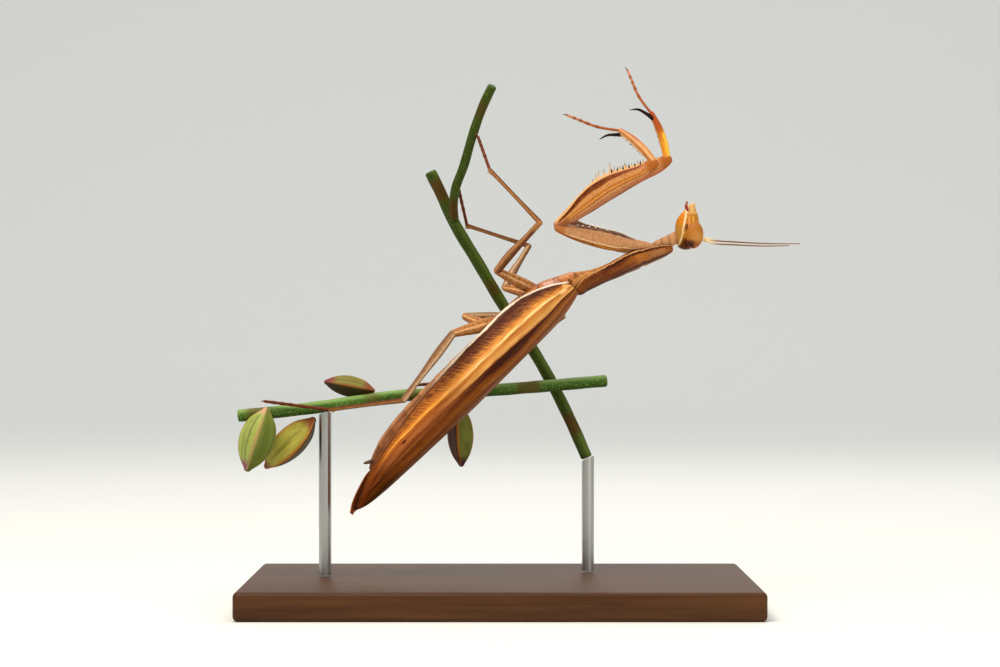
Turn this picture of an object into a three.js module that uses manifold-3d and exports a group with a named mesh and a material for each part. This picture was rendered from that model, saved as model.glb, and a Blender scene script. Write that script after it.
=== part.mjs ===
// A life-size museum model of a praying mantis (Mantis religiosa, brown form), hanging belly-up under two
// thin green stems. The stems are short cut lengths, held by two rods on a flat base.
//
// Units are millimetres, +Z is up and the origin is the centre of the base's underside. Directions in space
// are given as a pitch (degrees above +X, turning towards +Z) and a swing (degrees towards +Y). Every body
// part has its own frame, with +x along the part.

import * as THREE from 'three';
import { mergeVertices } from 'three/addons/utils/BufferGeometryUtils.js';
import Module from 'manifold-3d';

const wasm = await Module();
wasm.setup();

// ---------------------------------------------------------------------------------------------------------
// Driving dimensions
// ---------------------------------------------------------------------------------------------------------

const GAP = 0.3;                 // between any two neighbouring parts
const SHEET = 0.5;               // thickness of a wing

// The wing root is the origin of the trunk's frame: +x to the head, +y to the animal's left, +z to its back.
const TRUNK = { at: [8.65, 0, 45.43], pitch: 45.2, swing: 0, roll: 152 };
const PRONOTUM = { at: [10.16, -0.6, 45.14], pitch: 22.9, swing: 13.6, roll: 152, length: 17 };
// The head's frame: +x to the mouth, +y to the left eye, +z to the face.
const HEAD = { at: [27.2, 4.2, 53.95], pitch: 83.7, swing: 0, roll: 195 };

const THORAX_REAR = -12.9;       // trunk x where thorax ends and abdomen begins
const ABDOMEN_END = -37.4;       // trunk x of the last segment's end
const TEGMEN = { base: 1.2, tipLeft: -42.7, tipRight: -44.0 };
const HINDWING = { base: -4.6, tip: -38.5, inner: 0.25, outer: 2.2, top: 1.3 };

const EYE = { at: [-0.95, 2.25, 0.1], half: [1.9, 1.25, 1.6] };
// The two feelers: radii, and their routes from the face.
const ANTENNA = {
  root: 0.28,
  tip: 0.12,
  left: [[-0.95, 0.5, 1.2], [-1.3, 1, 1.9], [-1.7, 1.7, 3.2], [-1.65, 3.3, 6.2], [-1.4, 5.2, 9.9],
    [-1, 7, 13]],
  right: [[-0.95, -0.5, 1.2], [-1.1, -0.1, 2.2], [-1.25, 0.2, 3.9], [-1.1, 0.2, 7.3], [-0.8, 0.1, 11.9],
    [-0.2, -0.3, 17.4]],
};
// A forewing's main veins: rows of its surface that are raised, from the costal edge to the inner one.
const VEINS = { height: 0.14, rows: 19, columns: 18, raised: [0, 6, 8, 10, 12, 14, 17] };
const HIND_VEINS = { height: 0.1, rows: 4, columns: 12, raised: [1, 3] };
// Rings of the abdomen: how many, and how far each steps in under the one before it.
const RINGS = { count: 8, step: 0.05 };
const CERCUS = { length: 1.8, root: 0.36, tip: 0.14, spread: 0.42 };

// Lengths of coxa, femur, tibia and tarsus.
const SEGMENTS = ['coxa', 'femur', 'tibia', 'tarsus'];
const TIBIA = SEGMENTS.indexOf('tibia');
const LENGTHS = {
  fore: [12.0, 16.6, 6.8, 7.9],
  mid: [5.8, 10.8, 11.2, 6.6],
  hind: [6.6, 14.6, 15.8, 9.3],
};

// Hips in the frame of what carries them, then the pitch and swing of each segment.
const LEGS = {
  fore_left: { hip: [11.45, 1.45, -1.6], dirs: [[167.5, -12.4], [34.5, -12.7], [135.5, 20], [164.2, -6.6]] },
  fore_right: { hip: [11.7, -0.85, -2.3], dirs: [[153.6, 34.2], [34.2, -4.9], [109.7, -3.2], [117, 24]] },
  mid_left: { hip: [-3.2, 1.5, -2.9], dirs: [[153.9, -30.2], [47.8, -34], [132.7, 21.8], [108.8, 38.4]] },
  mid_right: { hip: [-3.2, -1.5, -2.9], dirs: [[167.8, 39.9], [60.7, 47.6], [162.9, -31.7], [102.7, -29.7]] },
  hind_left: { hip: [-10.8, 1.75, -3], dirs: [[-164.7, -34.1], [-126, -38.9], [-171.5, 46], [172.5, -4.6]] },
  hind_right: { hip: [-10.8, -1.8, -2.9], dirs: [[154.9, 34.9], [0, 11.5], [-143.6, -14.1], [-174.5, 4.5]] },
};

// Sections of each segment: [fraction of its length, half-width, half-height, lift towards its spined side].
const SECTIONS = {
  fore: {
    coxa: [[0, 0.75, 0.8, 0], [0.25, 0.8, 1.3, 0.2], [0.6, 0.75, 1.25, 0.27], [0.88, 0.65, 0.9, 0.2],
      [1, 0.6, 0.65, 0.1]],
    femur: [[0, 0.5, 0.6, 0.35], [0.09, 0.62, 1, 0.42], [0.18, 0.7, 1.3, 0.5], [0.3, 0.8, 1.58, 0.68],
      [0.425, 0.85, 1.76, 0.74], [0.515, 0.85, 1.78, 0.68], [0.61, 0.8, 1.7, 0.54], [0.73, 0.72, 1.48, 0.2],
      [0.85, 0.65, 1.17, -0.26], [0.93, 0.62, 0.97, -0.38], [1, 0.6, 0.8, -0.35]],
    tibia: [[0, 0.5, 0.55, 0], [0.35, 0.5, 0.6, -0.3], [0.75, 0.45, 0.5, -0.25], [1, 0.35, 0.38, 0]],
    tarsus: [[0, 0.28, 0.28, 0], [0.2, 0.28, 0.28, 0.25], [0.45, 0.27, 0.27, 0.4], [0.75, 0.26, 0.26, 0.2],
      [1, 0.25, 0.25, 0]],
  },
  mid: {
    coxa: [[0, 0.8, 0.85, 0], [0.4, 0.75, 0.8, 0], [0.8, 0.55, 0.6, 0], [1, 0.5, 0.5, 0]],
    femur: [[0, 0.5, 0.55, 0], [0.3, 0.5, 0.6, 0.15], [0.7, 0.38, 0.42, 0.05], [1, 0.4, 0.42, 0]],
    tibia: [[0, 0.36, 0.38, 0], [0.3, 0.28, 0.3, 0], [0.8, 0.27, 0.28, 0], [1, 0.3, 0.3, 0]],
    tarsus: [[0, 0.28, 0.28, 0], [0.4, 0.26, 0.26, 0], [1, 0.25, 0.25, 0]],
  },
};
SECTIONS.hind = {
  ...SECTIONS.mid,
  coxa: [[0, 0.85, 0.95, 0], [0.4, 0.8, 0.9, 0], [0.8, 0.6, 0.65, 0], [1, 0.52, 0.55, 0]],
  femur: [[0, 0.52, 0.55, 0], [0.25, 0.5, 0.62, 0], [0.7, 0.36, 0.42, 0], [1, 0.42, 0.46, 0]],
};

// Rows of spines on the grasping legs. From, to and count set them along the segment, side is left or right
// of its middle, tall and short alternate, lean tips them to the segment's end and splay to their side.
const SPINE_SIDES = 4;
const SPINES = {
  fore_femur: [
    { from: 0.44, to: 0.61, count: 4, side: 0.3, tall: 1.4, short: 0.9, root: 0.27, lean: 32, splay: 6 },
    { from: 0.5, to: 0.84, count: 5, side: 1, tall: 0.75, short: 0.65, root: 0.24, lean: 28, splay: 28 },
    { from: 0.47, to: 0.9, count: 10, side: -1, tall: 0.75, short: 0.45, root: 0.21, lean: 28, splay: 12 },
  ],
  fore_tibia: [
    { from: 0.26, to: 0.86, count: 7, side: 1, tall: 0.55, short: 0.45, root: 0.2, lean: 38, splay: 24 },
    { from: 0.3, to: 0.88, count: 8, side: -1, tall: 0.6, short: 0.5, root: 0.2, lean: 38, splay: 18 },
  ],
  tibia: [
    { from: 0.95, to: 0.96, count: 2, side: 1, tall: 0.55, short: 0.55, root: 0.2, lean: 55, splay: 35 },
  ],
};
// The grasping claw at the end of the fore tibia: [x past the end, aside, height], and the claws of the feet.
const HOOK = {
  root: 0.38,
  tip: 0.1,
  route: [[-0.9, 0.05, 0], [0.15, 0.5, 0.75], [1.15, 0.65, 1.7], [1.5, 0.5, 2.85]],
};
const TOE = { claw: 0.75, root: 0.2, splay: 38, joints: [0.42, 0.6, 0.74, 0.86], swell: 0.28, reach: 0.035 };

// The stems: routes through space, and their radii.
const MAIN_STEM = {
  radius: 0.9,
  route: [[-10.1, 6, 62.2], [-8.8, 6.6, 59.6], [-6.65, 7.8, 54.9], [-3.3, 9.4, 49.3], [0, 10.8, 43.7],
    [5.9, 9.95, 34.6], [10.6, 8.4, 25.4], [12.6, 7.5, 20.8]],
};
const TWIG = {
  radius: 0.7,
  route: [[-6.65, 7.8, 54.9], [-6.75, 5.6, 57.5], [-6.3, 3.7, 60.1], [-5.3, 2.2, 62.6], [-4, 0.4, 66.9],
    [-2.3, -2.2, 71.4], [-1.1, -3.6, 73.8]],
};
const LOW_STEM = {
  radius: 0.9,
  route: [[-37.2, -2.2, 27.1], [-28.3, -0.4, 28], [-24.3, 0.2, 28.5], [-19.4, 2.3, 29.2], [-14.5, 4.9, 29.8],
    [-8.7, 5.6, 30.1], [-0.7, 6, 30.6], [5.8, 6.8, 31.1], [15.5, 8.4, 31.9]],
};
// Seed pods: stalk end, tip, half-width and turn about their axis.
const PODS = [
  { from: [-33, -3.1, 28.3], to: [-35.9, -3.8, 19.2], half: 2.5, roll: 0 },
  { from: [-26.4, 0.1, 26.8], to: [-33.8, 1.6, 19.4], half: 2.45, roll: 55 },
  { from: [-17.9, 3.1, 30.5], to: [-25.5, 3.6, 31.9], half: 1.5, roll: 5 },
  { from: [-5.9, 6.3, 28.6], to: [-5.6, 6.4, 19.3], half: 1.9, roll: 10 },
];
// A pod's outline, and how far it steps back between its four ribs.
const POD_OUTLINE = [[0.05, 0.24], [0.2, 0.72], [0.38, 0.96], [0.5, 1], [0.66, 0.9], [0.83, 0.6],
  [0.95, 0.22]];
const POD_HOLLOW = 0.22;

const BASE = { size: [72, 48, 4], bevel: 0.6 };
const RODS = {
  radius: 0.9,
  left: { at: [-25, 0.1], top: 28.4 },
  right: { at: [12.8, 7.4], top: 21.3 },
};

// ---------------------------------------------------------------------------------------------------------
// Materials
// ---------------------------------------------------------------------------------------------------------

function finish(color, roughness, metalness = 0) {
  return new THREE.MeshStandardMaterial({ color, roughness, metalness });
}

const CUTICLE = finish(0xb5793f, 0.5);
const SHIELD = finish(0x7a4526, 0.5);
const WING = finish(0x9a5f2c, 0.45);
const HIND = finish(0xb98a5c, 0.4);
const EYEBALL = finish(0xb46a2a, 0.2);
const FEELER = finish(0x8a5a34, 0.6);
const STEM = finish(0x6f8a3a, 0.6);
const POD = finish(0x8a7a3a, 0.6);
const WALNUT = finish(0x4a3020, 0.45);
const STEEL = finish(0x9a9a9a, 0.3, 1);

// ---------------------------------------------------------------------------------------------------------
// Frames
// ---------------------------------------------------------------------------------------------------------

const RAD = Math.PI / 180;
const V = (x, y, z) => new THREE.Vector3(x, y, z);

/** A frame at a point, its x axis at the given pitch and swing and turned about it by roll. */
function frameAt(parent, { at, pitch = 0, swing = 0, roll = 0 }) {
  const group = new THREE.Group();
  group.position.set(...at);
  group.rotation.set(roll * RAD, -pitch * RAD, swing * RAD, 'YZX');
  parent.add(group);
  group.updateWorldMatrix(true, false);
  return group;
}

/** The unit vector at a pitch and a swing. */
function direction([pitch, swing]) {
  const flat = Math.cos(swing * RAD);
  return V(flat * Math.cos(pitch * RAD), Math.sin(swing * RAD), flat * Math.sin(pitch * RAD));
}

// ---------------------------------------------------------------------------------------------------------
// Solids
// ---------------------------------------------------------------------------------------------------------

/** A closed three.js geometry as a manifold solid. */
function solid(geometry) {
  const bare = geometry.index ? geometry.clone() : mergeVertices(geometry);
  bare.deleteAttribute('normal');
  bare.deleteAttribute('uv');
  const merged = mergeVertices(bare, 1e-4);
  const triangles = [];
  const index = merged.index.array;
  for (let i = 0; i < index.length; i += 3) {
    const [a, b, c] = index.subarray(i, i + 3);
    if (a !== b && b !== c && c !== a) triangles.push(a, b, c);
  }
  return new wasm.Manifold(new wasm.Mesh({
    numProp: 3,
    vertProperties: new Float32Array(merged.attributes.position.array),
    triVerts: new Uint32Array(triangles),
  }));
}

/** The largest closed surface of a solid, as a geometry. */
function geometryOf(shape) {
  const bodies = shape.decompose().sort((a, b) => b.volume() - a.volume());
  const mesh = bodies[0].getMesh();
  const geometry = new THREE.BufferGeometry();
  geometry.setAttribute('position', new THREE.BufferAttribute(new Float32Array(mesh.vertProperties), 3));
  geometry.setIndex(new THREE.BufferAttribute(new Uint32Array(mesh.triVerts), 1));
  geometry.computeVertexNormals();
  return geometry;
}

/** All solids fused into one. */
const fuse = (shapes) => shapes.reduce((whole, shape) => whole.add(shape));

/** A solid given in one frame, moved to another frame. */
function inFrame(shape, from, to) {
  const matrix = to.matrixWorld.clone().invert().multiply(from.matrixWorld);
  return shape.transform([...matrix.elements]);
}

/** A named mesh of a solid given in its parent's frame. */
function part(name, shape, material, parent) {
  const mesh = new THREE.Mesh(geometryOf(shape), material);
  mesh.name = name;
  parent.add(mesh);
  return mesh;
}

/** The smooth value at x of rows [x, ...values], with level tangents at peaks. */
function along(rows, x, column) {
  const last = rows.length - 1;
  if (x <= rows[0][0]) return rows[0][column];
  if (x >= rows[last][0]) return rows[last][column];
  const i = rows.findIndex((row) => row[0] > x) - 1;
  const slope = (k) => {
    if (k === 0 || k === last) return 0;
    return (rows[k + 1][column] - rows[k - 1][column]) / (rows[k + 1][0] - rows[k - 1][0]);
  };
  const span = rows[i + 1][0] - rows[i][0];
  const t = (x - rows[i][0]) / span;
  const [a, b] = [rows[i][column], rows[i + 1][column]];
  const [da, db] = [slope(i) * span, slope(i + 1) * span];
  return a + da * t + (3 * (b - a) - 2 * da - db) * t * t + (2 * (a - b) + da + db) * t * t * t;
}

const DOME_RINGS = 2;

/**
 * A closed body along +x with rounded ends. Stations are [x, half-width, half-height, lift], and form scales
 * a ring's radius by x and by the angle from +z towards +y.
 */
function loft(stations, { sides = 10, rings = 8, grow = 0, form = () => 1, dome = 1 } = {}) {
  const ordered = [...stations].sort((a, b) => a[0] - b[0]);
  const [low, high] = [ordered[0][0] - grow, ordered[ordered.length - 1][0] + grow];
  const total = rings + 2 * DOME_RINGS;
  const geometry = new THREE.CylinderGeometry(1, 1, 1, sides, total);
  const position = geometry.attributes.position;
  for (let i = 0; i < position.count; i += 1) {
    const ring = Math.round((0.5 - position.getY(i)) * total);
    const hub = Math.hypot(position.getX(i), position.getZ(i)) < 0.5;
    const angle = Math.atan2(position.getX(i), position.getZ(i));
    const inner = Math.min(Math.max(ring - DOME_RINGS, 0), rings);
    const x = low + ((high - low) * inner) / rings;
    const over = Math.max(DOME_RINGS - ring, ring - total + DOME_RINGS, 0) / (DOME_RINGS + 0.5);
    const height = along(ordered, x, 2) + grow;
    const width = along(ordered, x, 1) + grow;
    const reach = Math.sign(ring - total / 2) * Math.sin(over * 90 * RAD) * Math.min(width, height) * dome;
    const shrink = hub ? 0 : Math.cos(over * 90 * RAD) * form(x, angle);
    const centre = along(ordered, x, 3);
    const [across, up] = [Math.sin(angle) * width * shrink, Math.cos(angle) * height * shrink];
    position.setXYZ(i, x + reach, across, centre + up);
  }
  return solid(geometry);
}

/** A round rod along a smooth route, radius a function of 0 to 1 along it, its ends moved out by over. */
function sweep(route, radius, { sides = 6, rings = 10, over = 0 } = {}) {
  const curve = new THREE.CatmullRomCurve3(route.map((p) => (p.isVector3 ? p : V(...p))));
  const frames = curve.computeFrenetFrames(rings);
  const geometry = new THREE.CylinderGeometry(1, 1, 1, sides, rings);
  const position = geometry.attributes.position;
  const point = V(0, 0, 0);
  for (let i = 0; i < position.count; i += 1) {
    const ring = Math.round((0.5 - position.getY(i)) * rings);
    const t = ring / rings;
    curve.getPointAt(t, point);
    if (ring === 0) point.addScaledVector(frames.tangents[ring], -over);
    if (ring === rings) point.addScaledVector(frames.tangents[ring], over);
    point.addScaledVector(frames.normals[ring], position.getX(i) * radius(t));
    point.addScaledVector(frames.binormals[ring], position.getZ(i) * radius(t));
    position.setXYZ(i, point.x, point.y, point.z);
  }
  return solid(geometry);
}

const taper = (root, tip) => (t) => root + (tip - root) * t;

/** A ball stretched to three half-sizes. */
function ellipsoid(at, half, { grow = 0, sides = 12, rows = 8 } = {}) {
  const geometry = new THREE.SphereGeometry(1, sides, rows);
  geometry.scale(half[0] + grow, half[1] + grow, half[2] + grow);
  geometry.translate(...at);
  return solid(geometry);
}

/** A pointed spine from one point to another. */
function spine(from, to, radius) {
  const axis = to.clone().sub(from);
  const height = axis.length();
  const geometry = new THREE.ConeGeometry(radius, height, SPINE_SIDES);
  geometry.translate(0, height / 2, 0);
  geometry.applyQuaternion(new THREE.Quaternion().setFromUnitVectors(V(0, 1, 0), axis.normalize()));
  geometry.translate(from.x, from.y, from.z);
  return solid(geometry);
}

/** A row of spines standing on a lofted segment, their roots sunk in it. */
function spineRow(stations, length, { from, to, count, side, tall, short, root, lean, splay }) {
  return Array.from({ length: count }, (_, k) => {
    const x = length * (from + ((to - from) * k) / (count - 1));
    const [width, height, lift] = [1, 2, 3].map((column) => along(stations, x, column));
    const base = V(x, side * width * 0.55, lift + height * 0.55);
    const size = (k % 2 ? tall : short) * (1 + 0.1 * Math.cos(5 * k)) + height * 0.3;
    const tip = V(Math.sin(lean * RAD), Math.sign(side) * Math.sin(splay * RAD), Math.cos(lean * RAD));
    return spine(base, base.clone().addScaledVector(tip.normalize(), size), root);
  });
}

/**
 * A thin vane: surface(u, v) gives a point of its upper face for u and v from 0 to 1, and raise(u, v) the
 * height of the ridges on it. Both faces are split into triangles alike.
 */
function vane(surface, thickness, columns, rows, raise = () => 0) {
  const sheet = new THREE.PlaneGeometry(1, 1, columns, rows);
  const grid = sheet.attributes.position;
  const count = grid.count;
  const corners = new Float32Array(count * 6);
  const step = 1e-3;
  const [point, alongU, alongV] = [V(0, 0, 0), V(0, 0, 0), V(0, 0, 0)];
  for (let i = 0; i < count; i += 1) {
    const u = grid.getX(i) + 0.5;
    const v = grid.getY(i) + 0.5;
    surface(u, v, point);
    surface(u < 0.5 ? u + step : u - step, v, alongU).sub(point).multiplyScalar(u < 0.5 ? 1 : -1);
    surface(u, v < 0.5 ? v + step : v - step, alongV).sub(point).multiplyScalar(v < 0.5 ? 1 : -1);
    const normal = alongU.cross(alongV).normalize();
    point.clone().addScaledVector(normal, raise(u, v)).toArray(corners, i * 3);
    point.clone().addScaledVector(normal, -thickness).toArray(corners, (count + i) * 3);
  }
  const top = [...sheet.index.array];
  const index = [...top];
  for (let i = 0; i < top.length; i += 3) index.push(top[i] + count, top[i + 2] + count, top[i + 1] + count);
  const wide = columns + 1;
  const rim = [];
  for (let i = 0; i < columns; i += 1) rim.push([i, i + 1]);
  for (let j = 0; j < rows; j += 1) rim.push([j * wide + columns, (j + 1) * wide + columns]);
  for (let i = columns; i > 0; i -= 1) rim.push([rows * wide + i, rows * wide + i - 1]);
  for (let j = rows; j > 0; j -= 1) rim.push([j * wide, (j - 1) * wide]);
  for (const [a, b] of rim) index.push(a, b, b + count, a, b + count, a + count);
  const geometry = new THREE.BufferGeometry();
  geometry.setAttribute('position', new THREE.BufferAttribute(corners, 3));
  geometry.setIndex(index);
  return solid(geometry);
}

// ---------------------------------------------------------------------------------------------------------
// Frames of the body
// ---------------------------------------------------------------------------------------------------------

const mantis = new THREE.Group();
const trunk = frameAt(mantis, TRUNK);
const fore = frameAt(mantis, PRONOTUM);
const head = frameAt(mantis, HEAD);

// ---------------------------------------------------------------------------------------------------------
// Trunk: pronotum, thorax, abdomen and cerci
// ---------------------------------------------------------------------------------------------------------

const SHIELD_STATIONS = [
  [0.55, 0.8, 0.4, 0.72], [1.05, 1.1, 0.72, 0.6], [2.1, 1.25, 0.91, 0.28], [3.6, 1.3, 1.02, 0.07],
  [5.1, 1.35, 1.05, -0.05], [7.2, 1.5, 1.1, -0.1], [8.8, 1.75, 1.12, -0.2], [10.3, 1.85, 1.04, -0.17],
  [12.3, 1.6, 0.9, -0.05], [13.9, 1.35, 0.77, 0.1], [15.4, 1, 0.48, 0.4],
];

// The foremost part of the belly, under the shield.
const BREAST_STATIONS = [
  [-0.7, 1.3, 1.48, -1.05], [1, 1.3, 1.42, -0.9], [2.1, 1.25, 1.28, -0.75], [3.1, 1.15, 1.08, -0.6],
  [4.2, 1.1, 1, -0.5], [6.2, 1.1, 0.92, -0.45], [8.2, 1.3, 1.04, -0.5], [10.3, 1.5, 1.1, -0.6],
  [12.3, 1.2, 0.95, -0.7], [13.4, 0.95, 0.8, -0.85],
];

/** The long neck shield, with thin side edges, a low keel and a groove across its back, and its belly. */
function pronotumSolid(grow = 0) {
  const shape = (x, angle) => {
    const edge = 0.1 * Math.exp(-(((Math.abs(angle) - Math.PI / 2) / 0.3) ** 2));
    const keel = 0.05 * Math.exp(-((angle / 0.25) ** 2));
    const groove = Math.abs(angle) < 1.3 ? 0.1 * Math.exp(-(((x - 11.3) / 0.5) ** 2)) : 0;
    return 1 + edge + keel - groove;
  };
  const shield = loft(SHIELD_STATIONS, { sides: 14, rings: 20, grow, form: shape });
  return shield.add(loft(BREAST_STATIONS, { sides: 12, rings: 10, grow, dome: 0.5 }));
}

const THORAX_STATIONS = [
  [THORAX_REAR + 0.6, 2.6, 2.0, -1.6], [-9, 2.7, 2.1, -1.6], [-5, 2.7, 2.0, -1.4], [-2, 2.3, 1.8, -0.9],
  [0.6, 1.6, 1.4, -0.15], [1.9, 1.15, 1, 0.25],
];
const NOTUM = { at: [-1.6, 0, 0], half: [2.7, 2.1, 1.35] };

function thoraxSolid(grow = 0) {
  const box = loft(THORAX_STATIONS, { sides: 12, rings: 9, grow, dome: 0.3 });
  return box.add(ellipsoid(NOTUM.at, NOTUM.half, { grow }));
}

const ABDOMEN_STATIONS = [
  [THORAX_REAR - 0.6, 2.55, 2.05, -1.65], [-18, 2.75, 2.15, -1.65], [-24, 2.8, 2.15, -1.65],
  [-30, 2.5, 1.95, -1.7], [-34, 1.8, 1.4, -1.6], [ABDOMEN_END + 0.7, 0.8, 0.7, -1.3],
];

/** Widest at the rear edge of each ring of the abdomen, where the next one slips in under it. */
function ringed(x) {
  const place = ((THORAX_REAR - x) / (THORAX_REAR - ABDOMEN_END)) * RINGS.count;
  return 1 - RINGS.step * (1 - place + Math.floor(place));
}

function abdomenSolid(grow = 0) {
  return loft(ABDOMEN_STATIONS, { sides: 14, rings: 3 * RINGS.count, grow, form: ringed, dome: 0.4 });
}

function buildTrunk() {
  part('pronotum', pronotumSolid(), SHIELD, fore);
  const shieldRoom = inFrame(pronotumSolid(GAP), fore, trunk);
  part('thorax', thoraxSolid().subtract(shieldRoom), CUTICLE, trunk);
  part('abdomen', abdomenSolid().subtract(thoraxSolid(GAP)), CUTICLE, trunk);
  for (const [side, sign] of [['left', 1], ['right', -1]]) {
    const start = V(ABDOMEN_END + 1.4, 0.55 * sign, -1.3);
    const bend = (t) => V(-1, CERCUS.spread * sign * (1 + t), -0.1).multiplyScalar(t * CERCUS.length);
    const route = [0, 0.5, 1].map((t) => start.clone().add(bend(t)));
    const tail = sweep(route, taper(CERCUS.root, CERCUS.tip), { rings: 4 });
    part(`cercus_${side}`, tail.subtract(abdomenSolid(GAP)), CUTICLE, trunk);
  }
}

// ---------------------------------------------------------------------------------------------------------
// Wings
// ---------------------------------------------------------------------------------------------------------

// Section of a folded forewing from its costal edge, low on the flank, over the bend to beyond the midline.
// The right one dips by the overlap where the left one lies on it.
const FOLD_LEFT = [[3.5, -2.6], [3.68, -0.7], [3.6, 1.2], [3.1, 2.2], [1.8, 2.97], [0, 3.25], [-1.5, 3.1]];
const FOLD_RIGHT = [[3.5, -2.6], [3.68, -0.7], [3.6, 1.1], [3.15, 1.85], [1.8, 2.1], [0, 2.2], [-1.5, 2.0]];

/** How far the costal edge is cut back at x, measured across the wing. */
function costalCut(x, tip) {
  const root = x > -9 ? 3.9 * ((x + 9) / 10) ** 2 : 0;
  const end = x < -17 ? 4.6 * ((-17 - x) / (-17 - tip)) ** 1.7 : 0;
  const point = x < -37 ? 1.5 * ((-37 - x) / (-37 - tip)) ** 2 : 0;
  return 0.55 + root + end + point;
}

/** How far the inner edge is cut back at x. */
function innerCut(x, tip) {
  const root = x > -6 ? 1.8 * ((x + 6) / 7) ** 2 : 0;
  const end = x < tip + 7 ? 2.3 * ((tip + 7 - x) / 7) ** 2 : 0;
  return root + end;
}

/** The height of raised rows, even along them and dying out towards the root and the tip. */
function ridges({ height, rows, raised }, flip) {
  return (u, v) => {
    const row = Math.round((flip ? 1 - v : v) * rows);
    return raised.includes(row) ? height * Math.min(1, u * 8, (1 - u) * 5) : 0;
  };
}

function tegmen(sign, tip) {
  const section = sign > 0 ? FOLD_LEFT : FOLD_RIGHT;
  const fold = new THREE.SplineCurve(section.map(([y, z]) => new THREE.Vector2(y, z)));
  const width = fold.getLength();
  const flat = new THREE.Vector2();
  const surface = (u, v, target) => {
    const x = TEGMEN.base + (tip - TEGMEN.base) * u;
    const low = costalCut(x, tip);
    const across = low + (width - innerCut(x, tip) - low) * v;
    fold.getPointAt(Math.min(Math.max(across / width, 0), 1), flat);
    const back = Math.max(0, (-20 - x) / (-20 - tip));
    const front = Math.max(0, (x + 4) / 5);
    const narrow = 1 - 0.32 * back ** 1.5 - 0.2 * front ** 2;
    return target.set(x, sign * flat.x * narrow, flat.y - 1.0 * back ** 1.5 - 0.35 * front ** 2);
  };
  const facing = sign > 0 ? surface : (u, v, target) => surface(u, 1 - v, target);
  return vane(facing, SHEET, VEINS.columns, VEINS.rows, ridges(VEINS, sign < 0));
}

function hindwing(sign) {
  const surface = (u, v, target) => {
    const x = HINDWING.base + (HINDWING.tip - HINDWING.base) * u;
    const back = Math.max(0, (-20 - x) / (-20 - HINDWING.tip));
    const outer = HINDWING.inner + (HINDWING.outer - HINDWING.inner) * (1 - 0.65 * back ** 2);
    const y = HINDWING.inner + (outer - HINDWING.inner) * (sign > 0 ? 1 - v : v);
    return target.set(x, sign * y, HINDWING.top - 0.06 * y * y - 0.95 * back ** 1.5);
  };
  return vane(surface, SHEET, HIND_VEINS.columns, HIND_VEINS.rows, ridges(HIND_VEINS, sign > 0));
}

function buildWings() {
  const shieldRoom = inFrame(pronotumSolid(GAP), fore, trunk);
  part('tegmen_left', tegmen(1, TEGMEN.tipLeft).subtract(shieldRoom), WING, trunk);
  part('tegmen_right', tegmen(-1, TEGMEN.tipRight).subtract(shieldRoom), WING, trunk);
  for (const [side, sign] of [['left', 1], ['right', -1]]) {
    part(`hindwing_${side}`, hindwing(sign).subtract(thoraxSolid(GAP)), HIND, trunk);
  }
}

// ---------------------------------------------------------------------------------------------------------
// Head
// ---------------------------------------------------------------------------------------------------------

const SKULL_STATIONS = [
  [-2.2, 1.7, 1.2, 0], [-1.2, 2.2, 1.7, 0], [0.2, 1.9, 1.85, -0.1], [1.4, 1.25, 1.55, -0.15],
  [2.3, 0.85, 1.12, 0],
];
const MOUTH_STATIONS = [[2.6, 0.7, 0.8, 0.1], [2.9, 0.65, 0.72, 0.12], [3.2, 0.48, 0.52, 0.15]];

// Routes of the left feelers of the mouth: the long pair beside the jaws and the short pair under them.
const PALPS = [
  [[2.9, 0.35, 0.1], [3.2, 0.95, -0.1], [3.5, 1.1, -0.7], [3.1, 1.05, -1.25]],
  [[2.95, 0.25, -0.1], [3.3, 0.45, -0.6], [3.7, 0.5, -0.95]],
];

const skullSolid = (grow = 0) => loft(SKULL_STATIONS, { sides: 16, rings: 7, grow, dome: 0.6 });

function eyeSolid(sign, grow = 0) {
  const [x, y, z] = EYE.at;
  return ellipsoid([x, y * sign, z], EYE.half, { grow, sides: 12, rows: 8 });
}

function buildHead() {
  const sockets = fuse([eyeSolid(1, GAP), eyeSolid(-1, GAP)]);
  part('head', skullSolid().subtract(sockets), CUTICLE, head);
  part('eye_left', eyeSolid(1), EYEBALL, head);
  part('eye_right', eyeSolid(-1), EYEBALL, head);
  const palps = [1, -1].flatMap((sign) => PALPS.map((route) => {
    const mirrored = route.map(([x, y, z]) => [x, y * sign, z]);
    return sweep(mirrored, taper(0.28, 0.24), { sides: 5, rings: 4 });
  }));
  const jaw = loft(MOUTH_STATIONS, { sides: 10, rings: 3 });
  part('mouthparts', fuse([jaw, ...palps]).subtract(skullSolid(GAP)), CUTICLE, head);
  for (const side of ['left', 'right']) {
    const feeler = sweep(ANTENNA[side], taper(ANTENNA.root, ANTENNA.tip), { sides: 5, rings: 14 });
    part(`antenna_${side}`, feeler.subtract(skullSolid(GAP)).subtract(sockets), FEELER, head);
  }
  const neckStations = [[13.6, 0.9, 0.8, -0.95], [16, 0.95, 0.9, -1.0], [18.6, 0.85, 0.85, -1.2]];
  const neck = loft(neckStations, { sides: 12, rings: 5 }).subtract(pronotumSolid(GAP));
  part('neck', neck.subtract(inFrame(skullSolid(GAP), head, fore)), CUTICLE, fore);
}

// ---------------------------------------------------------------------------------------------------------
// Legs
// ---------------------------------------------------------------------------------------------------------

/** Cuts a solid at a plane given in space, keeping the side that the normal points to. */
function trim(shape, frame, point, normal) {
  const local = normal.clone().transformDirection(frame.matrixWorld.clone().invert()).normalize();
  const through = frame.worldToLocal(point.clone());
  return shape.trimByPlane(local.toArray(), local.dot(through) + GAP / 2);
}

/** The foot's five joints swell where they meet. */
function knuckles(length) {
  const bulge = (x, t) => TOE.swell * Math.exp(-(((x / length - t) / TOE.reach) ** 2));
  return (x) => TOE.joints.reduce((sum, t) => sum + bulge(x, t), 1);
}

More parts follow.
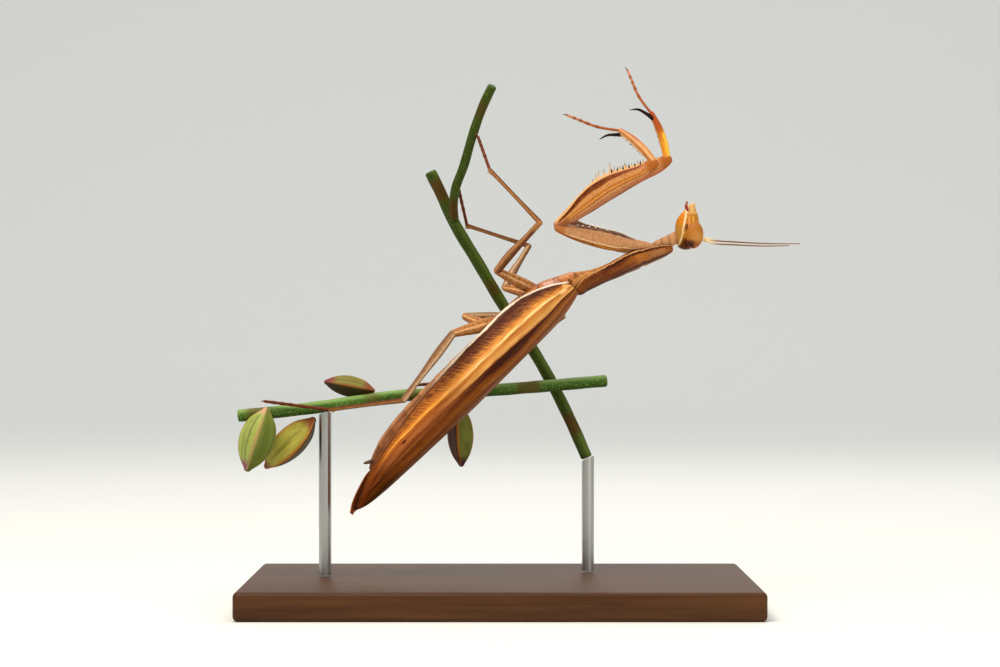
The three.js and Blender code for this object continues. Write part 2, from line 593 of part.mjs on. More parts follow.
/** A segment without what grows from it. */
function segmentSolid(kind, segment, stations, length) {
  if (segment === 'tarsus') return loft(stations, { sides: 6, rings: 14, form: knuckles(length) });
  return loft(stations, { sides: 8, rings: kind === 'fore' ? 7 : 4 });
}

/** What grows from a segment: spines, the grasping hook or the foot's two claws. Sign is 1 on the left. */
function growths(kind, sign, segment, stations, length) {
  if (segment === 'tarsus') {
    return [1, -1].map((side) => {
      const tip = V(Math.cos(TOE.splay * RAD), side * Math.sin(TOE.splay * RAD), 0.25);
      return spine(V(length - 0.15, 0, 0), V(length, 0, 0).addScaledVector(tip, TOE.claw), TOE.root);
    });
  }
  const grasping = kind === 'fore';
  const rows = SPINES[grasping ? `${kind}_${segment}` : segment] ?? [];
  const spines = rows.flatMap((row) => spineRow(stations, length, row));
  if (grasping && segment === 'tibia') {
    const route = HOOK.route.map(([x, y, z]) => V(length + x, y * sign, z));
    spines.push(sweep(route, taper(HOOK.root, HOOK.tip), { sides: 6, rings: 6 }));
  }
  return spines;
}

/**
 * One leg, its joints found from the hip by its lengths and directions. Neighbouring segments are cut square
 * to the bisector of their joint, and tibia and foot are cut clear of the stems that they grip.
 */
function buildLeg(name, carrier, carrierRoom, perchRoom) {
  const { hip, dirs } = LEGS[name];
  const [kind, handed] = name.split('_');
  const sign = handed === 'left' ? 1 : -1;
  const joint = carrier.localToWorld(V(...hip));
  SEGMENTS.forEach((segment, k) => {
    const length = LENGTHS[kind][k];
    const ahead = direction(dirs[k]);
    const frame = frameAt(mantis, { at: joint.toArray(), pitch: dirs[k][0], swing: dirs[k][1] });
    const stations = SECTIONS[kind][segment].map(([t, ...sizes]) => [t * length, ...sizes]);
    let shape = segmentSolid(kind, segment, stations, length);
    if (k === 0) {
      shape = shape.subtract(inFrame(carrierRoom, carrier, frame));
    } else {
      shape = trim(shape, frame, joint, ahead.clone().add(direction(dirs[k - 1])).normalize());
    }
    joint.addScaledVector(ahead, length);
    if (k < SEGMENTS.length - 1) {
      const fold = ahead.clone().add(direction(dirs[k + 1])).normalize();
      shape = trim(shape, frame, joint, fold.negate());
    }
    shape = fuse([shape, ...growths(kind, sign, segment, stations, length)]);
    if (k >= TIBIA) shape = shape.subtract(inFrame(perchRoom, mantis, frame));
    part(`${name}_${segment}`, shape, CUTICLE, frame);
  });
}

function buildLegs() {
  const chestRoom = pronotumSolid(GAP);
  const thoraxRoom = thoraxSolid(GAP);
  const perchRoom = fuse([mainStem(GAP), twig(GAP), lowStem(GAP)]);
  for (const name of Object.keys(LEGS)) {
    const isFore = name.startsWith('fore');
    buildLeg(name, isFore ? fore : trunk, isFore ? chestRoom : thoraxRoom, perchRoom);
  }
}

// ---------------------------------------------------------------------------------------------------------
// Perch and stand
// ---------------------------------------------------------------------------------------------------------

function rod({ at: [x, y], top }) {
  const height = top - BASE.size[2] - GAP;
  const geometry = new THREE.CylinderGeometry(RODS.radius, RODS.radius, height, 12);
  geometry.rotateX(90 * RAD);
  geometry.translate(x, y, top - height / 2);
  return solid(geometry);
}

function lowStem(grow = 0) {
  return sweep(LOW_STEM.route, () => LOW_STEM.radius + grow, { sides: 8, rings: 20, over: grow });
}

/** A pointed seed pod with four ribs. */
function pod({ from, to, half, roll }) {
  const axis = V(...to).sub(V(...from));
  const length = axis.length();
  const swing = Math.asin(axis.y / length) / RAD;
  const pitch = Math.atan2(axis.z, axis.x) / RAD;
  const frame = frameAt(mantis, { at: from, pitch, swing, roll });
  const stations = POD_OUTLINE.map(([t, size]) => [t * length, size * half, size * half, 0]);
  const ribbed = (x, angle) => 1 - POD_HOLLOW * Math.sin(2 * angle) ** 2;
  return { frame, shape: loft(stations, { sides: 8, rings: 8, form: ribbed }) };
}

function mainStem(grow = 0) {
  return sweep(MAIN_STEM.route, () => MAIN_STEM.radius + grow, { sides: 8, rings: 16, over: grow });
}

function twig(grow = 0) {
  return sweep(TWIG.route, () => TWIG.radius + grow, { sides: 8, rings: 12, over: grow });
}

function buildPerch() {
  part('perch_main_stem', mainStem(), STEM, mantis);
  part('perch_twig', twig().subtract(mainStem(GAP)), STEM, mantis);
  part('perch_low_stem', lowStem(), STEM, mantis);
  PODS.forEach((sizes, k) => {
    const { frame, shape } = pod(sizes);
    part(`perch_pod_${k + 1}`, shape.subtract(inFrame(lowStem(GAP), mantis, frame)), POD, frame);
  });
}

function buildStand() {
  const [width, depth, height] = BASE.size;
  const outline = new THREE.Shape();
  const [x, y] = [width / 2 - BASE.bevel, depth / 2 - BASE.bevel];
  outline.moveTo(-x, -y);
  outline.lineTo(x, -y);
  outline.lineTo(x, y);
  outline.lineTo(-x, y);
  outline.closePath();
  const slab = new THREE.ExtrudeGeometry(outline, {
    depth: height - 2 * BASE.bevel, bevelSize: BASE.bevel, bevelThickness: BASE.bevel, bevelSegments: 1,
  });
  slab.translate(0, 0, BASE.bevel);
  part('stand_base', solid(slab), WALNUT, mantis);
  part('stand_rod_left', rod(RODS.left).subtract(lowStem(GAP)), STEEL, mantis);
  part('stand_rod_right', rod(RODS.right).subtract(mainStem(GAP)), STEEL, mantis);
}

buildTrunk();
buildWings();
buildHead();
buildLegs();
buildPerch();
buildStand();

export default mantis;
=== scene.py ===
"""A praying mantis (Mantis religiosa, brown form) as a life-size still model, hanging under cut green stems.

Every piece is drawn in millimetres in a straight frame of its own: x runs along it, y to its side and z up.
Its finish reads the attribute that is noted there, and only then is the piece carried to its place.
"""

import logging
import math
from collections.abc import Callable, Mapping, Sequence
from dataclasses import dataclass, field, replace
from enum import Enum
from typing import Any

import bpy
import numpy as np
from bpy.types import Material, Node, NodeSocket, NodeTree, Object
from mathutils import Matrix, Vector

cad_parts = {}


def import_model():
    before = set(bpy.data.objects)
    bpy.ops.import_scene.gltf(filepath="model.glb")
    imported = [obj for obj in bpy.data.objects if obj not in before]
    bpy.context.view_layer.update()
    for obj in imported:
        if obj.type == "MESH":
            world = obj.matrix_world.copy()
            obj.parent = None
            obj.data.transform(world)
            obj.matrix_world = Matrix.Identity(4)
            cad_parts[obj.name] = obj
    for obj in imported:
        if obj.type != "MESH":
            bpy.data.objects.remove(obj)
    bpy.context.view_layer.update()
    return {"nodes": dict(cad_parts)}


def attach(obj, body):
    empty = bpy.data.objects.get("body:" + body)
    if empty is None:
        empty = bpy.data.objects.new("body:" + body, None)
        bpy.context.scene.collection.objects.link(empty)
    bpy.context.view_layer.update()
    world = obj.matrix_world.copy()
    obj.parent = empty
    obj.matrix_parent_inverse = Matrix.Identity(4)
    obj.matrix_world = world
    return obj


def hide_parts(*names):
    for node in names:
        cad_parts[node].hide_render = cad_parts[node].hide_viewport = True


LOG = logging.getLogger("mantis")
MM = 0.001
BODY = "root"
LIE = "lie"                 # attribute: a point's millimetres along, aside and up in its straight piece
TURN = "turn"               # attribute: 0 on a piece's back, 1 on its flanks and 2 on its belly
TONE = "tone"               # attribute: 0 to 1, where a finish shows its pale or ripened colour
SHADE = "shade"             # attribute: 0 to 1, where a finish shows its dark colour: painted shade in the trunk's folds and on a pod's face turned from the light, real stains on the stems and cross veins on the forewings

Point = tuple[float, float, float]
Station = tuple[float, float, float, float]     # along, half-width, half-height, lift
Sizes = tuple[tuple[float, float], ...]         # parts of a route, 0 to 1, and the radius at each
Array = np.ndarray
Form = Callable[[Array, Array], Array]          # the scale from the place along and the angle round from +z


# ---------------------------------------------------------------------------------------------------------
# Places and routes
# ---------------------------------------------------------------------------------------------------------

class Side(Enum):
    """The animal's left and right, with the way that y runs there."""

    LEFT = 1
    RIGHT = -1

    @property
    def word(self) -> str:
        """The side's name in small letters."""
        return self.name.lower()


def direction(pitch: float, swing: float) -> Vector:
    """Gives the way that a frame's x axis points.

    Args:
        pitch: Degrees that it climbs.
        swing: Degrees that it turns away from the camera.

    Returns:
        The unit vector.
    """
    p, s = math.radians(pitch), math.radians(swing)
    return Vector((math.cos(s) * math.cos(p), math.sin(s), math.cos(s) * math.sin(p)))


@dataclass(frozen=True)
class Place:
    """A straight frame's origin in millimetres and its turns in degrees."""

    at: Point
    pitch: float = 0.0
    swing: float = 0.0
    roll: float = 0.0

    def matrix(self) -> Matrix:
        """Gives the matrix from the straight frame to the model, in millimetres."""
        climb = Matrix.Rotation(-math.radians(self.pitch), 4, "Y")
        swing = Matrix.Rotation(math.radians(self.swing), 4, "Z")
        return Matrix.Translation(self.at) @ climb @ swing @ Matrix.Rotation(math.radians(self.roll), 4, "X")

    def point(self, local: Sequence[float]) -> Vector:
        """Gives a local point's place in the model."""
        return self.matrix() @ Vector(local)


def smooth(knots: Array, values: Array, at: Array) -> Array:
    """Runs a smooth line through values.

    Args:
        knots: Rising places of the values.
        values: One row for each knot.
        at: Places to read.

    Returns:
        One row for each place.
    """
    slopes = np.gradient(values, knots, axis=0)
    low = np.clip(np.searchsorted(knots, at, side="right") - 1, 0, len(knots) - 2)
    step = (knots[low + 1] - knots[low])[:, None]
    t = np.clip((at - knots[low])[:, None] / step, 0.0, 1.0)
    a, b = values[low], values[low + 1]
    start = (1 + 2 * t) * (1 - t) ** 2 * a + t * (1 - t) ** 2 * step * slopes[low]
    return start + t * t * (3 - 2 * t) * b + t * t * (t - 1) * step * slopes[low + 1]


def rise(at: Array, start: Array | float, end: Array | float) -> Array:
    """Gives 0 before a start, 1 past an end and an even rise between them."""
    return np.clip((at - start) / (end - start), 0.0, 1.0)


def hump(at: Array, centre: float, width: float) -> Array:
    """Gives a soft bump of height 1."""
    return np.exp(-(((at - centre) / width) ** 2))


def draw_in(x: Array, start: float, end: float, depth: float, power: float = 2.0) -> Array:
    """Gives how far an edge draws in between two places, on and on past the second.

    Args:
        x: Where to read it.
        start: Where the edge begins to draw in.
        end: Where it has drawn in by the depth.
        depth: How far.
        power: How late it does so.

    Returns:
        The distance at each place.
    """
    return depth * np.maximum(0.0, (x - start) / (end - start)) ** power


@dataclass(frozen=True)
class Ridge:
    """A soft ridge, or a groove where its height is below 0."""

    centre: float                 # where it runs, in the unit of what is read across it
    width: float                  # its half-width in that unit
    height: float                 # in parts of the piece's own half-size

    def over(self, at: Array) -> Array:
        """Gives its height at places across it."""
        return self.height * hump(at, self.centre, self.width)


def jointed(gap: float, depth: float) -> Form:
    """Gives the carving of a line of short joints.

    Args:
        gap: Millimetres from one joint to the next.
        depth: How far it draws in between them.

    Returns:
        The carving.
    """
    return lambda x, angle: 1 - depth * np.cos(x * 2 * math.pi / gap)


class Route:
    """A smooth line through points, with a side and an up direction carried along it."""

    def __init__(self, points: Sequence[Sequence[float]], up: Point = (0.0, 0.0, 1.0),
                 steps: int = 16) -> None:
        """Draws the line.

        Args:
            points: The points that it passes, in millimetres.
            up: The up direction at its start, roughly.
            steps: Samples between two points.
        """
        knots = np.array(points, float)
        chords = np.concatenate([[0.0], np.cumsum(np.linalg.norm(np.diff(knots, axis=0), axis=1))])
        at = np.linspace(0.0, chords[-1], steps * (len(knots) - 1) + 1)
        self.centre = smooth(chords, knots, at)
        gaps = np.linalg.norm(np.diff(self.centre, axis=0), axis=1)
        self.travel = np.concatenate([[0.0], np.cumsum(gaps)])
        ahead = np.gradient(self.centre, self.travel, axis=0)
        self.ahead = ahead / np.linalg.norm(ahead, axis=1)[:, None]
        heights = [np.array(up, float)]
        for tangent in self.ahead:
            level = heights[-1] - tangent * np.dot(heights[-1], tangent)
            heights.append(level / np.linalg.norm(level))
        self.up = np.array(heights[1:])
        self.side = np.cross(self.up, self.ahead)

    @property
    def length(self) -> float:
        """The line's length in millimetres."""
        return float(self.travel[-1])

    def read(self, track: Array, at: Array) -> Array:
        """Reads one of the line's tracks at distances along it."""
        return np.stack([np.interp(at, self.travel, track[:, k]) for k in range(3)], axis=1)

    def carry(self, straight: Array) -> Array:
        """Bends straight points onto the line.

        Args:
            straight: Points along, aside and up.

        Returns:
            The points in space. What lies past an end goes straight on.
        """
        along = straight[:, 0]
        inside = np.clip(along, 0.0, self.length)
        ahead = self.read(self.ahead, inside)
        point = self.read(self.centre, inside) + ahead * (along - inside)[:, None]
        point += self.read(self.side, inside) * straight[:, 1:2]
        return point + self.read(self.up, inside) * straight[:, 2:3]


# ---------------------------------------------------------------------------------------------------------
# Working a mesh
# ---------------------------------------------------------------------------------------------------------

TO_FRAME = Matrix(((0, 0, 1, 0), (1, 0, 0, 0), (0, 1, 0, 0), (0, 0, 0, 1)))     # turns a loft's z along x
CAP_ANGLES = (0.6, 1.1, 1.4)      # radians round a domed end at which it has a ring


def select_only(*pieces: Object) -> None:
    """Leaves only these pieces selected, the first one active."""
    if bpy.context.mode != "OBJECT":
        bpy.ops.object.mode_set(mode="OBJECT")
    bpy.ops.object.select_all(action="DESELECT")
    for piece in pieces:
        piece.select_set(True)
    if pieces:
        bpy.context.view_layer.objects.active = pieces[0]


def points_of(piece: Object) -> Array:
    """Reads a mesh's points, one row each."""
    rows = np.empty(3 * len(piece.data.vertices))
    piece.data.vertices.foreach_get("co", rows)
    return rows.reshape(-1, 3)


def move_points(piece: Object, points: Array) -> None:
    """Gives a mesh's points new places."""
    piece.data.vertices.foreach_set("co", np.ascontiguousarray(points, float).ravel())
    piece.data.update()


def note(piece: Object, name: str, values: Array) -> None:
    """Keeps a number or a triple for each point, which the piece's finish reads."""
    triple = values.ndim == 2
    kept = piece.data.attributes.new(name, "FLOAT_VECTOR" if triple else "FLOAT", "POINT")
    kept.data.foreach_set("vector" if triple else "value", np.ascontiguousarray(values, float).ravel())


def noted_lie(piece: Object) -> Array:
    """Reads where each point lies in the straight piece."""
    rows = np.empty(3 * len(piece.data.vertices))
    piece.data.attributes[LIE].data.foreach_get("vector", rows)
    return rows.reshape(-1, 3)


def settle(piece: Object, matrix: Matrix) -> Object:
    """Carries a mesh by a matrix and leaves its object at the origin."""
    select_only(piece)
    piece.matrix_world = matrix
    bpy.ops.object.transform_apply(location=True, rotation=True, scale=True)
    return piece


def set_down(piece: Object, matrix: Matrix | None = None) -> Object:
    """Carries a piece drawn in millimetres to its place in metres."""
    return settle(piece, Matrix.Scale(MM, 4) @ (matrix or Matrix.Identity(4)))


def apply_modifier(piece: Object, kind: str, **settings: Any) -> None:
    """Adds a modifier and applies it."""
    select_only(piece)
    modifier = piece.modifiers.new(kind.title(), kind)
    for name, value in settings.items():
        setattr(modifier, name, value)
    bpy.ops.object.modifier_apply(modifier=modifier.name)


def round_off(piece: Object, levels: int = 1) -> None:
    """Rounds a mesh by subdivision."""
    if levels:
        apply_modifier(piece, "SUBSURF", levels=levels, render_levels=levels)


def join(name: str, pieces: Sequence[Object]) -> Object:
    """Makes one piece of several, with their finishes kept."""
    select_only(*pieces)
    if len(pieces) > 1:
        bpy.ops.object.join()
    whole = bpy.context.view_layer.objects.active
    whole.name = name
    whole.data.name = name
    return whole


def face_one_way(piece: Object) -> None:
    """Points an open sheet's faces all to one side."""
    select_only(piece)
    bpy.ops.object.mode_set(mode="EDIT")
    bpy.ops.mesh.select_all(action="SELECT")
    bpy.ops.mesh.normals_make_consistent(inside=False)
    bpy.ops.object.mode_set(mode="OBJECT")


def copy_of(piece: Object) -> Object:
    """Copies a piece with a mesh of its own."""
    twin = piece.copy()
    twin.data = piece.data.copy()
    bpy.context.scene.collection.objects.link(twin)
    return twin


def loft(stations: Sequence[Sequence[float]], rings: int = 16, sides: int = 16,
         ends: tuple[float, float] = (1.0, 1.0)) -> Object:
    """Draws a closed skin along x by extruding a ring through stations.

    Args:
        stations: Rows of along, half-width, half-height and lift, rising along.
        rings: Rings between the first station and the last.
        sides: Points in a ring.
        ends: How far each end domes out, in parts of its ring's smaller half-size.

    Returns:
        The piece in its straight frame.
    """
    table = np.array(stations, float)
    at = np.linspace(table[0, 0], table[-1, 0], rings)
    rows = [tuple(row) for row in np.column_stack([at, smooth(table[:, 0], table[:, 1:], at)])]
    for end, dome in zip((0, -1), ends):
        along, wide, high, lift = rows[end]
        reach = dome * min(wide, high) * (1 if end else -1)
        caps = [(along + reach * math.sin(angle), wide * math.cos(angle), high * math.cos(angle), lift)
                for angle in CAP_ANGLES]
        rows = rows + caps if end else caps[::-1] + rows
    select_only()
    bpy.ops.mesh.primitive_circle_add(vertices=sides, radius=1.0, fill_type="NGON")
    piece = bpy.context.object
    bpy.ops.object.mode_set(mode="EDIT")
    bpy.ops.mesh.select_all(action="SELECT")
    along, wide, high, lift = rows[0]
    bpy.ops.transform.resize(value=(wide, high, 1.0), center_override=(0.0, 0.0, 0.0))
    bpy.ops.transform.translate(value=(0.0, lift, along))
    for low, top in zip(rows, rows[1:]):
        step = (0.0, top[3] - low[3], top[0] - low[0])
        bpy.ops.mesh.extrude_region_move(TRANSFORM_OT_translate={"value": step})
        growth = (top[1] / low[1], top[2] / low[2], 1.0)
        bpy.ops.transform.resize(value=growth, center_override=(0.0, top[3], top[0]))
    bpy.ops.mesh.select_all(action="SELECT")
    bpy.ops.mesh.normals_make_consistent(inside=False)
    bpy.ops.object.mode_set(mode="OBJECT")
    return settle(piece, TO_FRAME)


def carve(piece: Object, stations: Sequence[Sequence[float]], form: Form) -> None:
    """Scales a lofted skin round its middle line.

    Args:
        piece: The skin in its straight frame.
        stations: The stations that it was drawn through.
        form: Gives the scale from the place along and the angle from +z towards +y.
    """
    table = np.array(stations, float)
    points = points_of(piece)
    lift = smooth(table[:, 0], table[:, 3:4], np.clip(points[:, 0], table[0, 0], table[-1, 0]))[:, 0]
    aside, up = points[:, 1], points[:, 2] - lift
    scale = form(points[:, 0], np.arctan2(aside, up))
    move_points(piece, np.column_stack([points[:, 0], aside * scale, lift + up * scale]))


def note_lie(piece: Object, stations: Sequence[Sequence[float]]) -> None:
    """Notes where each point lies in the straight piece, and how far round it.

    Args:
        piece: The skin in its straight frame.
        stations: The stations that it was drawn through.
    """
    table = np.array(stations, float)
    points = points_of(piece)
    wide, high, lift = (np.interp(points[:, 0], table[:, 0], table[:, k]) for k in (1, 2, 3))
    note(piece, LIE, points)
    note(piece, TURN, np.abs(np.arctan2(points[:, 1] / wide, (points[:, 2] - lift) / high)) * 2 / math.pi)


def shell(stations: Sequence[Sequence[float]], rings: int, sides: int,
          ends: tuple[float, float] = (1.0, 1.0), form: Form | None = None) -> Object:
    """Draws a skin through stations, carved, then rounded, with its lie noted.

    Args:
        stations: What it is drawn through.
        rings: Rings along it.
        sides: Points in a ring.
        ends: How far its ends dome out.
        form: Carving, if any.

    Returns:
        The piece in its straight frame.
    """
    piece = loft(stations, rings, sides, ends)
    if form:
        carve(piece, stations, form)
    round_off(piece)
    note_lie(piece, stations)
    return piece


def tube(route: Route, sizes: Sizes, rings: int = 12, sides: int = 10,
         levels: int = 1, ends: tuple[float, float] = (1.0, 1.0), form: Form | None = None) -> Object:
    """Draws a round piece along a route, still in millimetres.

    Args:
        route: Where it runs.
        sizes: How thick it is.
        rings: Rings along it.
        sides: Points in a ring.
        levels: Rounds of subdivision.
        ends: How far its ends dome out.
        form: Carving, if any.

    Returns:
        The piece, noted and bent onto the route.
    """
    stations = [(t * route.length, radius, radius, 0.0) for t, radius in sizes]
    piece = loft(stations, rings, sides, ends)
    round_off(piece, levels)
    if form:
        carve(piece, stations, form)
    note_lie(piece, stations)
    move_points(piece, route.carry(points_of(piece)))
    return piece


# ---------------------------------------------------------------------------------------------------------
# Finishes
# ---------------------------------------------------------------------------------------------------------

MIX = {"factor": 0, "under": 6, "over": 7, "result": 2}      # sockets of the colour mix
SOFT_STEP = {"interpolation_type": "SMOOTHSTEP"}


def linear(colour: str) -> tuple[float, float, float, float]:
    """Turns an sRGB hex colour to linear light."""
    parts = [int(colour[k:k + 2], 16) / 255 for k in (1, 3, 5)]
    red, green, blue = (c / 12.92 if c <= 0.04045 else ((c + 0.055) / 1.055) ** 2.4 for c in parts)
    return red, green, blue, 1.0


def add_node(tree: NodeTree, kind: str, settings: Mapping[str, Any] | None = None,
             values: Mapping[Any, Any] | None = None, links: Mapping[Any, NodeSocket] | None = None) -> Node:
    """Adds a node with its settings, the values of its sockets and its links.

    Args:
        tree: The material's node tree.
        kind: The node's type.
        settings: Properties of the node.
        values: Constants, by socket name or number.
        links: Sockets to read, by socket name or number.

    Returns:
        The node.
    """
    node = tree.nodes.new(kind)
    for name, value in (settings or {}).items():
        setattr(node, name, value)
    for name, value in (values or {}).items():
        node.inputs[name].default_value = value
    for name, source in (links or {}).items():
        tree.links.new(source, node.inputs[name])
    return node


Limits = tuple[float | None, float | None]
OPEN: Limits = (None, None)
Layer = tuple[NodeSocket, NodeSocket | str, str]     # mask, colour and how the colour is blended in


class Track(Enum):
    """What a band's edges are measured in."""

    ASIDE = "millimetres to the side"
    UP = "millimetres up"
    TURN = "parts of a quarter turn round from the back"


@dataclass(frozen=True)
class Band:
    """A stripe or patch of another colour along a piece."""

    colour: str
    along: Limits = OPEN          # mm along between which it shows
    edges: Limits = OPEN          # its two edges where it starts
    end_edges: Limits | None = None    # its edges where it ends, if others
    track: Track = Track.TURN
    soft: float = 0.08            # half-width of its edges, in the track's unit
    fade: float = 0.5             # mm in which its ends fade
    strength: float = 1.0


@dataclass(frozen=True)
class Surface:
    """What a material's name, gloss and relief have in common."""

    name: str
    roughness: float = 0.45
    rough_spread: float = 0.15
    relief: float = 0.03          # mm of fine relief
    relief_grain: float = 0.12    # mm across one grain of the relief
    ior: float = 1.55
    specular: float = 0.1         # half the usual, for a surface broken up by hairs and dust
    metallic: float = 0.0

    def material(self) -> Material:
        """Builds the material, or returns the one built before."""
        return bpy.data.materials.get(self.name) or self.build()

    def build(self) -> Material:
        """Builds the material.

        Returns:
            The new material.
        """
        material = bpy.data.materials.new(self.name)
        material.use_nodes = True
        tree = material.node_tree
        tree.nodes.clear()
        lie = add_node(tree, "ShaderNodeAttribute", {"attribute_name": LIE}).outputs["Vector"]
        grain = add_node(tree, "ShaderNodeTexNoise", {}, {"Scale": 1 / self.relief_grain, "Detail": 3.0},
                         {"Vector": lie})
        bump = add_node(tree, "ShaderNodeBump", {}, {"Strength": 0.6, "Distance": self.relief * MM},
                        {"Height": grain.outputs["Fac"]})
        rough = add_node(tree, "ShaderNodeMapRange", {},
                         {"To Min": self.roughness - self.rough_spread / 2,
                          "To Max": self.roughness + self.rough_spread / 2}, {"Value": grain.outputs["Fac"]})
        shader = add_node(tree, "ShaderNodeBsdfPrincipled", {},
                          {"Metallic": self.metallic, "IOR": self.ior, "Specular IOR Level": self.specular},
                          {"Base Color": self.colour(tree, lie), "Roughness": rough.outputs[0],
                           "Normal": bump.outputs[0]})
        add_node(tree, "ShaderNodeOutputMaterial", {}, {}, {"Surface": shader.outputs["BSDF"]})
        return material

    def colour(self, tree: NodeTree, lie: NodeSocket) -> NodeSocket:
        """Gives the colour, from the place in the straight piece."""
        raise NotImplementedError

    def layered(self, tree: NodeTree, ground: NodeSocket | str, layers: Sequence[Layer]) -> NodeSocket:
        """Lays colours over a ground, each through its mask.

        Args:
            tree: The material's node tree.
            ground: The lowest colour.
            layers: What lies over it, the lowest first.

        Returns:
            The socket of the colour that shows.
        """
        under = ground
        for mask, over, kind in layers:
            constants, sockets = {}, {}
            for name, source in (("factor", mask), ("under", under), ("over", over)):
                if isinstance(source, str):
                    constants[MIX[name]] = linear(source)
                else:
                    sockets[MIX[name]] = source
            mix = add_node(tree, "ShaderNodeMix", {"data_type": "RGBA", "blend_type": kind},
                           constants, sockets)
            under = mix.outputs[MIX["result"]]
        return under


@dataclass(frozen=True)
class Finish(Surface):
    """A surface grown or worked: a mottled ground, with bands, specks and noted places over it."""

    ground: str = "#808080"
    mottle: str = "#707070"
    grain: float = 1.2            # mm across a patch of the mottling
    streak: float = 1.0           # how many times longer than wide the mottling is
    contrast: float = 0.5
    bands: tuple[Band, ...] = ()
    wander: float = 0.25          # mm that the bands' edges stray
    wander_grain: float = 1 / 1.1     # mm from one stray to the next
    wander_ends: float = 4.0      # how many times further the bands' ends stray
    speck: str | None = None      # colour of fine specks
    speck_size: float = 0.25      # mm from one speck to the next
    speck_edge: tuple[float, float] = (0.54, 0.7)      # the noise between which a speck grows
    speck_most: float = 0.8
    toned: str | None = None      # colour where the tone attribute is 1
    shaded: str | None = None     # colour where the shade attribute is 1

    def colour(self, tree: NodeTree, lie: NodeSocket) -> NodeSocket:
        """Gives the colour, from the place in the straight piece."""
        stretched = add_node(tree, "ShaderNodeVectorMath", {"operation": "MULTIPLY"},
                             {1: (1 / self.streak, 1.0, 1.0)}, {0: lie})
        noise = add_node(tree, "ShaderNodeTexNoise", {},
                         {"Scale": 1 / self.grain, "Detail": 5.0, "Roughness": 0.6},
                         {"Vector": stretched.outputs[0]})
        spread = add_node(tree, "ShaderNodeMapRange", SOFT_STEP,
                          {"From Min": 0.5 * self.contrast, "From Max": 1 - 0.5 * self.contrast},
                          {"Value": noise.outputs["Fac"]})
        layers = [(spread.outputs[0], self.mottle, "MIX")]
        tracks = self.tracks(tree, lie) if self.bands else {}
        layers += [(self.mask(tree, tracks, band), band.colour, "MIX") for band in self.bands]
        if self.speck:
            cells = add_node(tree, "ShaderNodeTexNoise", {}, {"Scale": 1 / self.speck_size, "Detail": 2.0},
                             {"Vector": lie})
            dots = add_node(tree, "ShaderNodeMapRange", SOFT_STEP,
                            {"From Min": self.speck_edge[0], "From Max": self.speck_edge[1],
                             "To Max": self.speck_most}, {"Value": cells.outputs["Fac"]})
            layers.append((dots.outputs[0], self.speck, "MIX"))
        for name, over in ((SHADE, self.shaded), (TONE, self.toned)):
            if over:
                noted = add_node(tree, "ShaderNodeAttribute", {"attribute_name": name})
                layers.append((noted.outputs["Fac"], over, "MIX"))
        return self.layered(tree, self.ground, layers)

    def tracks(self, tree: NodeTree, lie: NodeSocket) -> dict[Track | None, NodeSocket]:
        """Gives what the bands are measured in, straying a little so that none ends on a ruled line."""
        noise = add_node(tree, "ShaderNodeTexNoise", {}, {"Scale": 1 / self.wander_grain, "Detail": 3.0},
                         {"Vector": lie})
        centred = add_node(tree, "ShaderNodeVectorMath", {"operation": "SUBTRACT"}, {1: (0.5, 0.5, 0.5)},
                           {0: noise.outputs["Color"]})
        spread = add_node(tree, "ShaderNodeVectorMath", {"operation": "MULTIPLY_ADD"},
                          {1: (self.wander * self.wander_ends, self.wander, self.wander)},
                          {0: centred.outputs[0], 2: lie})
        split = add_node(tree, "ShaderNodeSeparateXYZ", {}, {}, {0: spread.outputs[0]})
        noted = add_node(tree, "ShaderNodeAttribute", {"attribute_name": TURN})
        apart = add_node(tree, "ShaderNodeSeparateXYZ", {}, {}, {0: centred.outputs[0]})
        turn = add_node(tree, "ShaderNodeMath", {"operation": "MULTIPLY_ADD"}, {1: self.wander},
                        {0: apart.outputs[1], 2: noted.outputs["Fac"]})
        return {None: split.outputs[0], Track.ASIDE: split.outputs[1], Track.UP: split.outputs[2],
                Track.TURN: turn.outputs[0]}

    def mask(self, tree: NodeTree, tracks: Mapping[Track | None, NodeSocket], band: Band) -> NodeSocket:
        """Gives a band's strength inside its edges and 0 outside.

        Args:
            tree: The material's node tree.
            tracks: What the edges are measured in, with the place along under None.
            band: The band.

        Returns:
            The mask's socket.
        """
        start, stop = band.along
        limits = [(tracks[None], limit, way * band.fade)
                  for limit, way in zip(band.along, (1, -1)) if limit is not None]
        for edge, last, way in zip(band.edges, band.end_edges or band.edges, (1, -1)):
            if edge is None:
                continue
            reach = tracks[band.track]
            if band.end_edges:
                moved = add_node(tree, "ShaderNodeMapRange", {},
                                 {"From Min": start, "From Max": stop, "To Min": 0.0, "To Max": last - edge},
                                 {"Value": tracks[None]})
                reach = add_node(tree, "ShaderNodeMath", {"operation": "SUBTRACT"}, {},
                                 {0: reach, 1: moved.outputs[0]}).outputs[0]
            limits.append((reach, edge, way * band.soft))
        mask = None
        for reach, limit, half in limits:
            step = add_node(tree, "ShaderNodeMapRange", SOFT_STEP,
                            {"From Min": limit - half, "From Max": limit + half,
                             "To Max": 1.0 if mask else band.strength}, {"Value": reach}).outputs[0]
            mask = add_node(tree, "ShaderNodeMath", {"operation": "MULTIPLY"}, {},
                            {0: mask, 1: step}).outputs[0] if mask else step
        return mask


Stops = tuple[tuple[float, str], ...]


